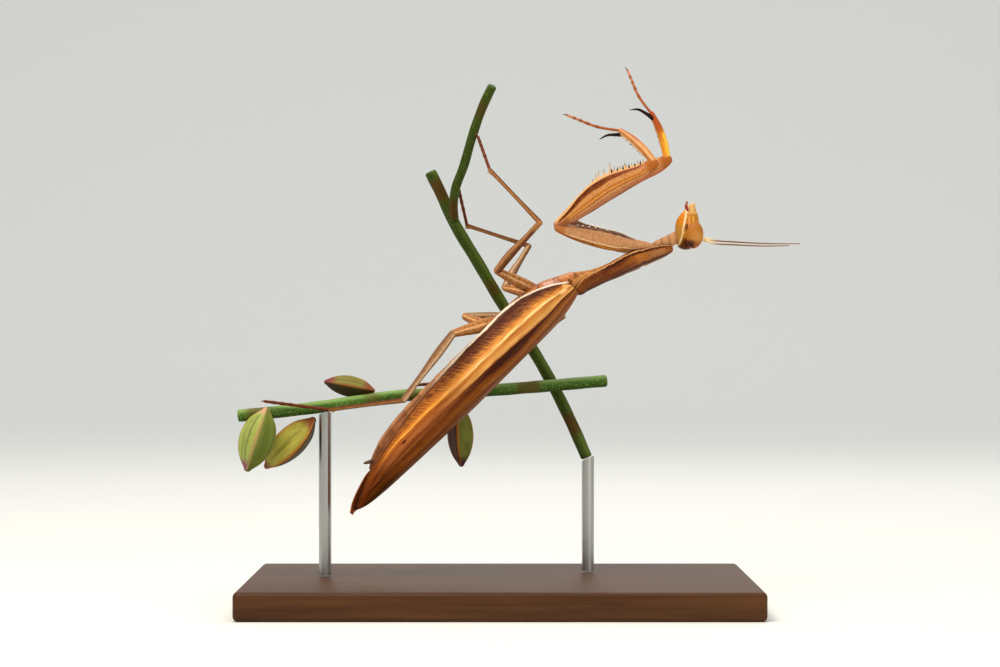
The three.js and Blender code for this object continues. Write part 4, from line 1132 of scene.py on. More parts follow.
@dataclass
class Pronotum:
    """The long neck shield: a keeled saddle with thin toothed side edges and a groove across it."""

    stations: tuple[Station, ...] = (
        (0.55, 0.8, 0.4, 0.72), (1.05, 1.1, 0.72, 0.6), (2.1, 1.25, 0.91, 0.28), (3.6, 1.3, 1.02, 0.07),
        (5.1, 1.35, 1.05, -0.05), (7.2, 1.5, 1.1, -0.1), (8.8, 1.75, 1.12, -0.2), (10.3, 1.85, 1.04, -0.17),
        (12.3, 1.6, 0.9, -0.05), (13.9, 1.35, 0.8, 0.08), (15.1, 1.1, 0.62, 0.22), (15.9, 0.75, 0.42, 0.32))
    # Along the shield, at an angle round from its back in radians.
    edge: Ridge = Ridge(1.8, 0.17, 0.2)
    keel: Ridge = Ridge(0.0, 0.12, 0.05)
    trough: Ridge = Ridge(0.5, 0.2, -0.03)
    under: Ridge = Ridge(2.3, 0.2, -0.08)
    tooth_height: float = 0.1
    tooth_wave: float = 14.0
    # Across its back, down to an angle.
    grooves: tuple[Ridge, ...] = (Ridge(11.3, 0.32, -0.1), Ridge(8.9, 0.5, -0.03))
    back: float = 1.35

    def form(self, x: Array, angle: Array) -> Array:
        """Draws out the side edges, raises the keel and sinks the grooves."""
        side = np.abs(angle)
        edge = self.edge.over(side) * (1 + self.tooth_height * np.cos(x * self.tooth_wave))
        sunk = self.trough.over(side) + sum(groove.over(x) for groove in self.grooves)
        return 1 + edge + self.keel.over(side) + sunk * (side < self.back) + self.under.over(side)

    def build(self) -> None:
        """Builds the shield and hands it over."""
        shield = shell(self.stations, 100, 44, form=self.form)
        set_down(dress(shield, PRONOTUM_CUTICLE), FORE.matrix())
        shield.name = "pronotum_plate"
        hand_over(shield, "pronotum", "pronotum")


# ---------------------------------------------------------------------------------------------------------
# Head
# ---------------------------------------------------------------------------------------------------------

@dataclass
class HeadParts:
    """Skull with its mouth under one skin, the two eyes and the two feelers."""

    skull: tuple[Station, ...] = (
        (-2.6, 1.35, 1.1, -0.22), (-2.0, 1.9, 1.5, -0.1), (-1.2, 2.2, 1.72, 0.0), (0.2, 1.9, 1.85, -0.1),
        (1.4, 1.25, 1.55, -0.15), (2.3, 0.85, 1.12, 0.0))
    mouth: tuple[Station, ...] = ((2.3, 0.75, 0.95, 0.0), (2.6, 0.7, 0.8, 0.1), (2.9, 0.65, 0.72, 0.12),
                                  (3.2, 0.48, 0.52, 0.15))
    # Furrows between crown and cheeks, over the mouth's shield, beside the mouth, and of the lip.
    crown: Ridge = Ridge(0.45, 0.1, -0.04)
    crown_to: float = 0.2
    shield: Ridge = Ridge(1.25, 0.12, -0.05)
    shield_half: float = 1.0      # radians that it reaches round from the face's middle
    cheek: Ridge = Ridge(1.2, 0.1, -0.05)
    cheek_from: float = 0.6
    lip: Ridge = Ridge(0.8, 0.15, -0.12)
    palps: tuple[tuple[tuple[Point, ...], Finish], ...] = (
        (((2.5, 0.4, -0.5), (2.95, 0.85, -0.85), (3.35, 0.95, -1.0), (3.75, 0.85, -0.95)), PALP_CUTICLE),
        (((2.6, -0.4, -0.3), (3.0, -0.85, -0.45), (3.35, -0.95, -0.45), (3.7, -0.9, -0.3)), PALP_CUTICLE),
        (((2.8, 0.25, 0.1), (3.2, 0.4, 0.3), (3.6, 0.45, 0.4)), PALP_CUTICLE_PALE),
        (((2.8, -0.25, 0.1), (3.2, -0.4, 0.35), (3.65, -0.45, 0.5)), PALP_CUTICLE_PALE))
    palp_sizes: Sizes = ((0, 0.2), (0.5, 0.18), (1, 0.13))
    palp_joint: float = 0.62
    ocelli: tuple[Point, ...] = ((-1.35, 0.0, 1.62), (-1.6, 0.36, 1.5), (-1.6, -0.36, 1.5))
    ocellus: tuple[Station, ...] = ((-0.05, 0.2, 0.2, 0.0), (0.05, 0.2, 0.2, 0.0))
    eye_at: Point = (-0.9, 1.9, 0.42)
    eye_half: Point = (1.9, 0.85, 1.3)
    eye_span: float = 1.4         # radians from the eye's middle to its first and last station
    feelers: Mapping[Side, tuple[Point, ...]] = field(default_factory=lambda: {
        Side.LEFT: ((-0.95, 0.5, 1.2), (-1.3, 1, 1.9), (-1.7, 1.7, 3.2), (-1.65, 3.3, 6.2), (-1.4, 5.2, 9.9),
                    (-1, 7, 13)),
        Side.RIGHT: ((-0.95, -0.5, 1.2), (-1.1, -0.1, 2.2), (-1.25, 0.2, 3.9), (-1.1, 0.2, 7.3),
                     (-0.8, 0.1, 11.9), (-0.2, -0.3, 17.4))})
    feeler_sizes: Sizes = ((0, 0.24), (0.08, 0.22), (0.14, 0.18), (0.2, 0.13), (0.4, 0.11), (0.7, 0.09),
                           (1, 0.06))
    feeler_joint: float = 0.42
    joint_depth: float = 0.08

    def form(self, x: Array, angle: Array) -> Array:
        """Sinks the furrows between crown, cheeks and face shield."""
        side = np.abs(angle)
        crown = self.crown.over(side) * (x < self.crown_to)
        shield = self.shield.over(x) * (side < self.shield_half)
        return 1 + crown + shield + self.cheek.over(side) * (x > self.cheek_from)

    def jaws(self) -> list[Object]:
        """Makes the lip with the jaws, and the four jointed feelers of the mouth."""
        jaw = shell(self.mouth, 10, 20, form=lambda x, angle: 1 + self.lip.over(np.abs(angle)))
        made = [set_down(dress(jaw, HEAD_CUTICLE), HEAD.matrix())]
        for points, finish in self.palps:
            palp = tube(Route(points), self.palp_sizes, 20, 8,
                        form=jointed(self.palp_joint, self.joint_depth))
            made.append(set_down(dress(palp, finish), HEAD.matrix()))
        return made

    def simple_eyes(self) -> list[Object]:
        """Makes the three simple eyes between the feelers' roots."""
        made = []
        for at in self.ocelli:
            bead = shell(self.ocellus, 3, 10, (0.8, 0.8))
            bead.data.transform(Matrix.Translation(at) @ Matrix.Rotation(-math.pi / 2, 4, "Y"))
            made.append(set_down(dress(bead, EYE_CORNEA), HEAD.matrix()))
        return made

    def eye(self, side: Side) -> Object:
        """Makes one eye, an egg of many facets."""
        x, y, z = self.eye_at
        half_x, half_y, half_z = self.eye_half
        angles = np.linspace(-self.eye_span, self.eye_span, 15)
        rows = [(half_x * math.sin(a), half_y * math.cos(a), half_z * math.cos(a), 0.0) for a in angles]
        ball = shell(rows, 22, 28, (0.6, 0.6))
        ball.data.transform(Matrix.Translation((x, y * side.value, z)))
        return set_down(dress(ball, EYE_CORNEA), HEAD.matrix())

    def feeler(self, side: Side) -> Object:
        """Makes one feeler of many short joints on a thick first one."""
        route = Route(self.feelers[side], (1.0, 0.0, 0.0))
        line = tube(route, self.feeler_sizes, 190, 6, 0, form=jointed(self.feeler_joint, self.joint_depth))
        return set_down(dress(line, FEELER_CUTICLE), HEAD.matrix())

    def build(self) -> None:
        """Builds the head and hands its pieces over."""
        skull = shell(self.skull, 30, 36, (0.45, 0.6), self.form)
        set_down(dress(skull, HEAD_CUTICLE), HEAD.matrix())
        skin = join("head_skin", [skull, *self.jaws(), *self.simple_eyes()])
        hand_over(skin, "cuticle", "head", "mouthparts")
        for side in Side:
            eye = self.eye(side)
            eye.name = f"compound_eye_{side.word}"
            hand_over(eye, "eye", f"eye_{side.word}")
            feeler = self.feeler(side)
            feeler.name = f"feeler_{side.word}"
            hand_over(feeler, "antenna", f"antenna_{side.word}")


# ---------------------------------------------------------------------------------------------------------
# Wings
# ---------------------------------------------------------------------------------------------------------

@dataclass
class Forewing:
    """One leathery forewing, folded along the flank and over the back, with its veins raised."""

    side: Side
    base: float = 1.2
    columns: int = 330
    rows: int = 120
    thickness: float = 0.3
    rim: float = 0.3              # mm across the thick costal edge
    costal_inset: float = 0.55
    vein_height: float = 0.09
    main_vein: Ridge = Ridge(1.0, 0.07, 1.0)
    fine_veins: tuple[float, ...] = (1.22, 1.45, 1.68, 1.9, 2.2, 2.45, 2.7, 2.95, 3.2, 3.45, 3.7)
    fine_width: float = 0.035
    fine_height: float = 0.45
    fine_stray: float = 0.05
    fine_wave: float = 0.31       # radians of its straying for each mm along
    hair_strength: float = 0.75
    hair_strength_behind: float = 0.25
    axis: float = 1.5             # mm that the axis the veins stand out from lies below the trunk's
    # At x on the trunk: how far across lie the band's lower edge, the main vein and both sides of the patch
    # of painted shadow on the back.
    lines: tuple[tuple[float, ...], ...] = (
        (1.2, 4.6, 5.2, 6.3, 6.5), (-1.0, 3.8, 4.85, 6.0, 6.2), (-4.2, 2.82, 4.36, 6.14, 6.4),
        (-7.5, 2.63, 4.13, 5.93, 6.75), (-10.7, 2.44, 4.03, 5.62, 7.31), (-14.0, 2.38, 3.97, 5.35, 6.95),
        (-17.2, 2.3, 3.87, 5.3, 6.3), (-20.5, 2.14, 3.81, 5.2, 6.4), (-25.0, 2.1, 3.62, 5.2, 6.6),
        (-30.2, 2.6, 3.57, 5.2, 6.8), (-36.7, 3.5, 3.76, 5.4, 7.0), (-44.0, 5.2, 5.6, 6.6, 7.6))
    line_room: tuple[float, ...] = (0.3, 0.3, 0.3, 0.2, 0.2)      # the least mm to the line before
    marks: tuple[float, ...] = (0.0, 0.1, 0.5, 1.0, 2.0, 3.0, 4.0)

    @property
    def tip(self) -> float:
        """Where the wing ends on the trunk."""
        return -42.7 if self.side is Side.LEFT else -44.0

    @property
    def section(self) -> tuple[tuple[float, float], ...]:
        """The folded section, from the costal edge low on the flank to beyond the back's midline."""
        start = ((3.5, -2.6), (3.68, -0.7))
        if self.side is Side.LEFT:
            return (*start, (3.6, 1.2), (3.1, 2.2), (1.8, 2.97), (0.0, 3.25), (-1.5, 3.1))
        return (*start, (3.6, 1.1), (3.15, 1.85), (1.8, 2.1), (0.0, 2.2), (-1.5, 2.0))

    def surface(self, u: Array, v: Array) -> tuple[Array, Array, Array]:
        """Gives the folded surface.

        Args:
            u: 0 to 1 from the root to the tip.
            v: 0 to 1 from the costal to the inner edge.

        Returns:
            The points, how many millimetres each lies across the wing, and its place between the main lines.
        """
        tip = self.tip
        x = self.base + (tip - self.base) * u
        low = self.costal_inset + draw_in(x, start=-9, end=1, depth=3.9)
        low += draw_in(x, start=-17, end=tip, depth=4.6, power=1.7)
        low += draw_in(x, start=-37, end=tip, depth=1.5)
        inner = draw_in(x, start=-6, end=1, depth=1.8)
        inner += draw_in(x, start=tip + 7, end=tip, depth=2.3, power=3)
        fold = Route([(y, 0.0, z) for y, z in self.section], (0.0, 1.0, 0.0), 24)
        across = low + (fold.length - inner - low) * v
        flat = fold.read(fold.centre, np.clip(across, 0.0, fold.length))
        narrow = 1 - draw_in(x, start=-20, end=tip, depth=0.32, power=1.5)
        narrow -= draw_in(x, start=-4, end=1, depth=0.2)
        drop = draw_in(x, start=-20, end=tip, depth=0.72, power=1.2)
        drop += draw_in(x, start=-4, end=1, depth=0.35)
        points = np.column_stack([x, self.side.value * flat[:, 0] * narrow, flat[:, 2] - drop])
        return points, across, self.place(x, across, low, fold.length - inner)

    def place(self, x: Array, across: Array, low: Array, high: Array) -> Array:
        """Places points between the wing's main lines.

        Args:
            x: Where they lie along the trunk.
            across: How many millimetres they lie across the wing.
            low: Where the costal edge lies there.
            high: Where the inner edge lies there.

        Returns:
            0 on the costal edge, 1 on the main vein, 2 and 3 on the sides of the patch of painted shadow on
            the back, and 4 on the inner edge.
        """
        rows = np.array(self.lines)[::-1]
        lines = [np.interp(x, rows[:, 0], rows[:, k]) for k in range(1, rows.shape[1])]
        edges = [low, low + self.rim]
        for line, room in zip((*lines, high), self.line_room):
            edges.append(np.maximum(line, edges[-1] + room))
        return sum((stop - start) * rise(across, low_edge, high_edge)
                   for start, stop, low_edge, high_edge in zip(self.marks, self.marks[1:], edges, edges[1:]))

    def veins(self, x: Array, turn: Array) -> Array:
        """Gives the veins' height, 0 to 1: the edge, the bright main vein, and finer ones beside it."""
        edge = rise(turn, 0.096, 0.036) * np.maximum(rise(x, -31, -25), 0.25)
        main = self.main_vein.over(turn) * rise(x, -36, -27)
        fine = [Ridge(line, self.fine_width, self.fine_height).over(
                    turn - self.fine_stray * np.sin(self.fine_wave * x + 1.7 * k))
                for k, line in enumerate(self.fine_veins)]
        return np.maximum.reduce([edge, main, *fine])

    def hairs(self, x: Array, turn: Array) -> Array:
        """Gives how strongly the slanting cross veins show: most in the dark band, not on the main vein."""
        inside = rise(turn, 0.12, 0.32) * rise(turn, 0.93, 0.53) * np.maximum(rise(x, -40, -26), 0.2)
        return self.hair_strength * (inside + self.hair_strength_behind * rise(turn, 2.0, 2.3))

    def build(self) -> None:
        """Builds the wing and hands it over."""
        select_only()
        bpy.ops.mesh.primitive_grid_add(x_subdivisions=self.columns, y_subdivisions=self.rows, size=1.0)
        wing = bpy.context.object
        flat = points_of(wing)
        u, v = flat[:, 0] + 0.5, flat[:, 1] + 0.5
        points, across, turn = self.surface(u, v)
        x = points[:, 0]
        fade = rise(u, 0, 0.1) * rise(u, 1, 5 / 6)
        outwards = np.column_stack([np.zeros_like(u), points[:, 1], points[:, 2] + self.axis])
        outwards /= np.linalg.norm(outwards, axis=1)[:, None]
        move_points(wing, points + outwards * (self.vein_height * self.veins(x, turn) * fade)[:, None])
        note(wing, LIE, np.column_stack([self.base - x, across, 10 * v]))
        note(wing, TURN, turn)
        note(wing, SHADE, self.hairs(x, turn))
        face_one_way(wing)
        middle = wing.data.polygons[len(wing.data.polygons) // 2]
        if middle.normal.dot(Vector((0, middle.center.y, middle.center.z + self.axis))) < 0:
            wing.data.flip_normals()
        apply_modifier(wing, "SOLIDIFY", thickness=self.thickness, offset=-1.0)
        finish = FOREWING_LEATHER if self.side is Side.LEFT else FOREWING_LEATHER_FAR
        set_down(dress(wing, finish), TRUNK.matrix())
        wing.name = f"forewing_{self.side.word}"
        hand_over(wing, "forewing", f"tegmen_{self.side.word}")


@dataclass
class Hindwing:
    """One thin hindwing, pleated lengthwise under the forewings."""

    side: Side
    columns: int = 150
    rows: int = 50
    inner: float = 0.25
    arch: float = 0.06            # how far it bulges, for each mm squared across
    pleats: int = 5
    pleat_depth: float = 0.07
    thickness: float = 0.12
    # Its outer edge: along the trunk, aside and up. The tip shows beyond the near forewing's edge.
    edge: tuple[Point, ...] = (
        (-4.6, 2.2, 1.0), (-20.0, 2.2, 1.0), (-30.0, 2.2, 0.62), (-36.0, 2.3, 0.3), (-38.5, 2.2, 0.2),
        (-40.0, 1.9, 0.5), (-42.0, 1.3, 1.0), (-43.2, 0.75, 1.4), (-44.0, 0.3, 1.85))

    def build(self) -> None:
        """Builds the wing and hands it over."""
        select_only()
        bpy.ops.mesh.primitive_grid_add(x_subdivisions=self.columns, y_subdivisions=self.rows, size=1.0)
        wing = bpy.context.object
        flat = points_of(wing)
        u, v = flat[:, 0] + 0.5, flat[:, 1] + 0.5
        line = np.array(self.edge)
        x = line[0, 0] + (line[-1, 0] - line[0, 0]) * u
        outer, height = smooth(-line[:, 0], line[:, 1:], -x).T
        across = (outer - self.inner) * v
        y = self.inner + across
        pleat = self.pleat_depth * np.cos(2 * math.pi * self.pleats * v)
        z = height + self.arch * (outer ** 2 - y ** 2) + pleat
        move_points(wing, np.column_stack([x, self.side.value * y, z]))
        note(wing, LIE, np.column_stack([-x, across, pleat]))
        note(wing, TURN, v)
        face_one_way(wing)
        apply_modifier(wing, "SOLIDIFY", thickness=self.thickness, offset=0.0)
        set_down(dress(wing, HINDWING_MEMBRANE), TRUNK.matrix())
        wing.name = f"hindwing_fan_{self.side.word}"
        hand_over(wing, "hindwing", f"hindwing_{self.side.word}")


# ---------------------------------------------------------------------------------------------------------
# Legs
# ---------------------------------------------------------------------------------------------------------

SEGMENTS = ("coxa", "femur", "tibia", "tarsus")
KNUCKLES = (0.42, 0.6, 0.74, 0.86)     # the foot's swollen joints, in parts of its length
KNUCKLE_SWELL = 0.25
KNUCKLE_WIDTH = 0.03
KNUCKLE_STAIN = 0.035                  # half-width of a joint's stain, in parts of the foot's length
SPINE_SPREAD = 0.1                     # how far spines of one row differ in length, in parts of it
SPINE_SEAT = 0.75                      # where a spine's root sits, in parts of the segment's half-size
SPINE_SUNK = 0.25                      # how much of a spine is inside, in parts of that half-size
BEAD_SEAT = 1.04
BEAD_LENGTH = 0.9
DARK_TONE = (-1 / 15, 1 / 10)          # the parts of a dark spine between which it turns dark
PALE_TONE = (1.9 / 3, 2.9 / 3)         # the same for a pale spine, dark at its point only

Spine = tuple[float, float, bool]      # mm along the segment, mm that it stands out, and whether it is dark


def alternating(start: float, end: float, count: int, tall: float, short: float,
                dark: tuple[bool, bool] = (False, False)) -> tuple[Spine, ...]:
    """Lays out spines evenly, short and tall by turns.

    Args:
        start: Where the first one stands.
        end: Where the last one stands.
        count: How many there are.
        tall: How far the tall ones stand out.
        short: How far the short ones stand out.
        dark: Whether the short and the tall ones are dark all over.

    Returns:
        The spines.
    """
    places = np.linspace(start, end, count)
    return tuple((float(x), (tall if k % 2 else short) * (1 + SPINE_SPREAD * math.cos(5 * k)), dark[k % 2])
                 for k, x in enumerate(places))


@dataclass(frozen=True)
class SpineRow:
    """A row of spines on a segment."""

    spines: tuple[Spine, ...]
    seat: float                   # quarter turns round from the segment's +z to +y
    root: float                   # mm of half-width at the root
    lean: float                   # degrees that they tip towards the segment's end
    beads: bool = False           # whether they are round beads instead


@dataclass(frozen=True)
class Kind:
    """A pair of legs alike: their segments' lengths, sections, finishes, spines and ridges."""

    lengths: tuple[float, ...]
    sections: tuple[tuple[Station, ...], ...]     # in parts of the segment's length along, and millimetres
    finishes: tuple[Finish, ...]
    spines: Mapping[str, tuple[SpineRow, ...]] = field(default_factory=dict)
    foot_size: float = 0.85       # of the foot between its joints, in parts of its sections
    ridges: int = 8               # round a segment
    ridge_depth: float = 0.05
    hooked: bool = False          # whether a grasping hook ends the tibia


WALKING_FINISHES = (WALK_COXA, WALK_FEMUR, WALK_TIBIA, WALK_FOOT)
MID_FINISHES = (WALK_COXA, WALK_FEMUR_BROWN, WALK_TIBIA, WALK_FOOT)
KINDS = {
    "fore": Kind(
        (12.0, 16.6, 6.8, 7.9),
        (((-0.17, 0.6, 0.62, -0.12), (-0.08, 0.74, 0.76, -0.06), (0, 0.75, 0.8, 0), (0.25, 0.8, 1.3, 0.2),
          (0.6, 0.75, 1.25, 0.27), (0.88, 0.65, 0.9, 0.2), (1, 0.6, 0.65, 0.1)),
         ((0, 0.5, 0.6, 0.3), (0.09, 0.6, 0.92, 0.33), (0.18, 0.68, 1.18, 0.36), (0.3, 0.8, 1.47, 0.55),
          (0.425, 0.85, 1.72, 0.67), (0.515, 0.85, 1.76, 0.66), (0.61, 0.8, 1.7, 0.54),
          (0.73, 0.72, 1.48, 0.2), (0.85, 0.65, 1.17, -0.26), (0.93, 0.62, 0.97, -0.38),
          (1, 0.6, 0.8, -0.35)),
         ((0, 0.5, 0.55, 0), (0.35, 0.5, 0.6, -0.3), (0.75, 0.45, 0.5, -0.25), (1, 0.35, 0.38, 0)),
         ((0, 0.28, 0.28, 0), (0.2, 0.28, 0.28, 0.25), (0.45, 0.27, 0.27, 0.4), (0.75, 0.26, 0.26, 0.2),
          (1, 0.25, 0.25, 0))),
        (FORE_COXA, FORE_FEMUR, FORE_TIBIA_NEAR, FORE_FOOT),
        {"coxa": (SpineRow(((4.9, 0.17, False), (6.6, 0.19, False), (7.55, 0.2, False), (8.5, 0.19, False),
                            (9.3, 0.13, False)), -1.88, 0.14, 0, True),
                  SpineRow(alternating(1.5, 10.5, 12, 0.1, 0.06), 1.6, 0.12, 0)),
         "femur": (SpineRow(((7.5, 0.54, False), (8.1, 0.95, False), (8.6, 1.15, False), (9.45, 0.95, False),
                             (10.4, 1.5, False)), 0.05, 0.2, 32),
                   SpineRow(alternating(8.0, 10.6, 3, 0.6, 0.5), 0.4, 0.14, 28),
                   SpineRow(alternating(10.7, 15.2, 12, 0.62, 0.5, (True, False)), -0.12, 0.17, 30)),
         "tibia": (SpineRow(alternating(1.7, 5.9, 10, 0.52, 0.42, (False, True)), 0.3, 0.11, 38),
                   SpineRow(alternating(1.9, 6, 13, 0.55, 0.42), -0.25, 0.11, 38))},
        foot_size=0.72, ridges=14, ridge_depth=0.035, hooked=True),
    "mid": Kind(
        (5.8, 10.8, 11.2, 6.6),
        (((-0.3, 0.75, 0.75, 0), (0, 0.85, 0.88, 0), (0.4, 0.75, 0.8, 0), (0.8, 0.55, 0.6, 0),
          (1, 0.5, 0.5, 0)),
         ((0, 0.5, 0.55, 0), (0.3, 0.5, 0.6, 0.15), (0.7, 0.38, 0.42, 0.05), (1, 0.4, 0.42, 0)),
         ((0, 0.36, 0.38, 0), (0.3, 0.28, 0.3, 0), (0.8, 0.27, 0.28, 0), (1, 0.3, 0.3, 0)),
         ((0, 0.28, 0.28, 0), (0.4, 0.26, 0.26, 0), (1, 0.25, 0.25, 0))),
        MID_FINISHES, {"tibia": (SpineRow(((10.6, 0.55, False), (10.75, 0.55, False)), 0.4, 0.2, 55),)}),
    "hind": Kind(
        (6.6, 14.6, 15.8, 9.3),
        (((-0.2, 0.7, 0.8, 0), (0, 0.85, 0.95, 0), (0.4, 0.8, 0.9, 0), (0.8, 0.6, 0.65, 0),
          (1, 0.52, 0.55, 0)),
         ((0, 0.52, 0.55, 0), (0.25, 0.5, 0.62, 0), (0.7, 0.36, 0.42, 0), (1, 0.42, 0.46, 0)),
         ((0, 0.36, 0.38, 0), (0.3, 0.28, 0.3, 0), (0.8, 0.27, 0.28, 0), (1, 0.3, 0.3, 0)),
         ((0, 0.28, 0.28, 0), (0.4, 0.26, 0.26, 0), (1, 0.25, 0.25, 0))),
        WALKING_FINISHES, {"tibia": (SpineRow(((15.0, 0.55, False), (15.2, 0.55, False)), 0.4, 0.2, 55),)}),
}


@dataclass
class Leg:
    """One leg: a skin over its four segments, its spines, and its claws."""

    name: str
    carrier: Place
    hip: Point
    turns: tuple[tuple[float, float], ...]        # each segment's pitch and swing
    own_finishes: Mapping[str, Finish] = field(default_factory=dict)
    own_sections: Mapping[str, tuple[Station, ...]] = field(default_factory=dict)
    spine_reach: float = 1.0
    hook_route: tuple[Point, ...] = (
        (-0.9, 0.05, 0.0), (0.15, 0.5, 0.75), (1.15, 0.65, 1.7), (1.5, 0.5, 2.85))
    hook_sizes: Sizes = ((0, 0.36), (0.4, 0.26), (0.8, 0.15), (1, 0.05))
    toe_length: float = 0.75
    toe_splay: float = 38.0       # degrees that each claw stands out
    toe_lift: float = 0.25
    toe_bend: float = 0.55        # where it bends, in parts of its length
    toe_sag: float = 0.08
    toe_sunk: float = 0.2         # mm that it starts inside the foot
    toe_sizes: Sizes = ((0, 0.12), (0.5, 0.08), (1, 0.03))

    @property
    def kind(self) -> Kind:
        """The pair that the leg belongs to."""
        return KINDS[self.name.split("_")[0]]

    @property
    def side(self) -> Side:
        """The side that the leg is on."""
        return Side.LEFT if self.name.endswith("left") else Side.RIGHT

    def places(self) -> list[Place]:
        """Gives each segment's frame, from the hip outwards."""
        joint = self.carrier.point(self.hip)
        found = []
        for (pitch, swing), length in zip(self.turns, self.kind.lengths):
            found.append(Place(tuple(joint), pitch, swing))
            joint = joint + direction(pitch, swing) * length
        return found

    def form(self, segment: str, length: float) -> Form:
        """Gives a segment's carving.

        Args:
            segment: The segment's name.
            length: Its length in millimetres.

        Returns:
            The foot's swollen joints, or ridges lengthwise.
        """
        kind = self.kind
        if segment == "tarsus":
            swollen = [Ridge(at, KNUCKLE_WIDTH, KNUCKLE_SWELL) for at in KNUCKLES]
            return lambda x, angle: kind.foot_size * (1 + sum(joint.over(x / length) for joint in swollen))

        def ridged(x: Array, angle: Array) -> Array:
            """Runs the ridges out towards both joints."""
            fade = rise(x / length, 0, 1 / 6) * rise(x / length, 1, 5 / 6)
            return 1 + kind.ridge_depth * fade * np.cos(kind.ridges * angle)

        return ridged

    def marks(self, segment: str, along: Array) -> Array:
        """Gives where a segment is toned, 0 to 1: on the foot's swollen joints."""
        if segment == "tarsus":
            return sum(hump(along / self.kind.lengths[3], at, KNUCKLE_STAIN) for at in KNUCKLES)
        return np.zeros_like(along)

    def skin(self, segment: str, stations: Sequence[Station], place: Place, finish: Finish) -> Object:
        """Makes one segment's skin.

        Args:
            segment: The segment's name.
            stations: What it is drawn through.
            place: Its frame.
            finish: Its finish.

        Returns:
            The skin, in its place.
        """
        rings, sides = (50, 16) if segment == "tarsus" else (26, 28)
        piece = shell(stations, rings, sides, (0.9, 0.9), self.form(segment, stations[-1][0]))
        note(piece, TONE, self.marks(segment, points_of(piece)[:, 0]))
        return set_down(dress(piece, finish), place.matrix())

    def spine_copies(self, pattern: Object, stations: Sequence[Station], row: SpineRow,
                     place: Place) -> list[Object]:
        """Stands copies of a unit spine along a row.

        Args:
            pattern: The unit spine.
            stations: What the segment is drawn through.
            row: The row.
            place: The segment's frame.

        Returns:
            The spines, in their places.
        """
        table = np.array(stations)
        made = []
        lean, seat = math.radians(row.lean), row.seat * math.pi / 2
        way = Vector((math.sin(lean), math.cos(lean) * math.sin(seat), math.cos(lean) * math.cos(seat)))
        turn = way.to_track_quat("X", "Z").to_matrix().to_4x4()
        depth = BEAD_SEAT if row.beads else SPINE_SEAT
        for x, tall, dark in row.spines:
            width, height, lift = smooth(table[:, 0], table[:, 1:], np.array([x]))[0]
            root = Vector((x, width * depth * math.sin(seat), lift + height * depth * math.cos(seat)))
            twin = copy_of(pattern)
            if row.beads:
                dress(twin, BEAD_CUTICLE)
                size = (tall * BEAD_LENGTH, tall, tall, 1)
            else:
                note(twin, TONE, rise(points_of(twin)[:, 0], *(DARK_TONE if dark else PALE_TONE)))
                size = (tall * self.spine_reach + height * SPINE_SUNK, row.root, row.root, 1)
            matrix = Matrix.Translation(root) @ turn @ Matrix.Diagonal(size)
            made.append(set_down(twin, place.matrix() @ matrix))
        return made

    def hook(self, length: float, place: Place) -> Object:
        """Makes the grasping hook that ends a fore tibia."""
        route = Route([(length + x, y * self.side.value, z) for x, y, z in self.hook_route])
        claw = tube(route, self.hook_sizes, 14, 12)
        return set_down(dress(claw, CLAW_CUTICLE), place.matrix())

    def toes(self, length: float, place: Place) -> list[Object]:
        """Makes the foot's two claws."""
        made = []
        splay = math.radians(self.toe_splay)
        end = np.array((length, 0.0, 0.0))
        for side in Side:
            way = np.array((math.cos(splay), side.value * math.sin(splay), self.toe_lift))
            middle = end + way * self.toe_length * self.toe_bend + np.array((0.0, 0.0, -self.toe_sag))
            route = Route([(length - self.toe_sunk, 0.0, 0.0), middle, end + way * self.toe_length])
            claw = tube(route, self.toe_sizes, 8, 8)
            made.append(set_down(dress(claw, TOE_CUTICLE), place.matrix()))
        return made

    def build(self, pattern: Object) -> None:
        """Builds the leg and hands its pieces over.

        Args:
            pattern: The spine that the leg's spines are copies of.
        """
        skins, spines, claws = [], [], []
        for number, (segment, place) in enumerate(zip(SEGMENTS, self.places())):
            length = self.kind.lengths[number]
            sections = self.own_sections.get(segment, self.kind.sections[number])
            stations = [(t * length, *sizes) for t, *sizes in sections]
            finish = self.own_finishes.get(segment, self.kind.finishes[number])
            skins.append(self.skin(segment, stations, place, finish))
            for row in self.kind.spines.get(segment, ()):
                spines += self.spine_copies(pattern, stations, row, place)
            if segment == "tarsus":
                claws += self.toes(length, place)
            elif segment == "tibia" and self.kind.hooked:
                claws.append(self.hook(length, place))
        nodes = [f"{self.name}_{segment}" for segment in SEGMENTS]
        hand_over(join(f"leg_{self.name}", skins), "cuticle", *nodes)
        hand_over(join(f"spines_{self.name}", spines), "cuticle")
        hand_over(join(f"claws_{self.name}", claws), "cuticle")


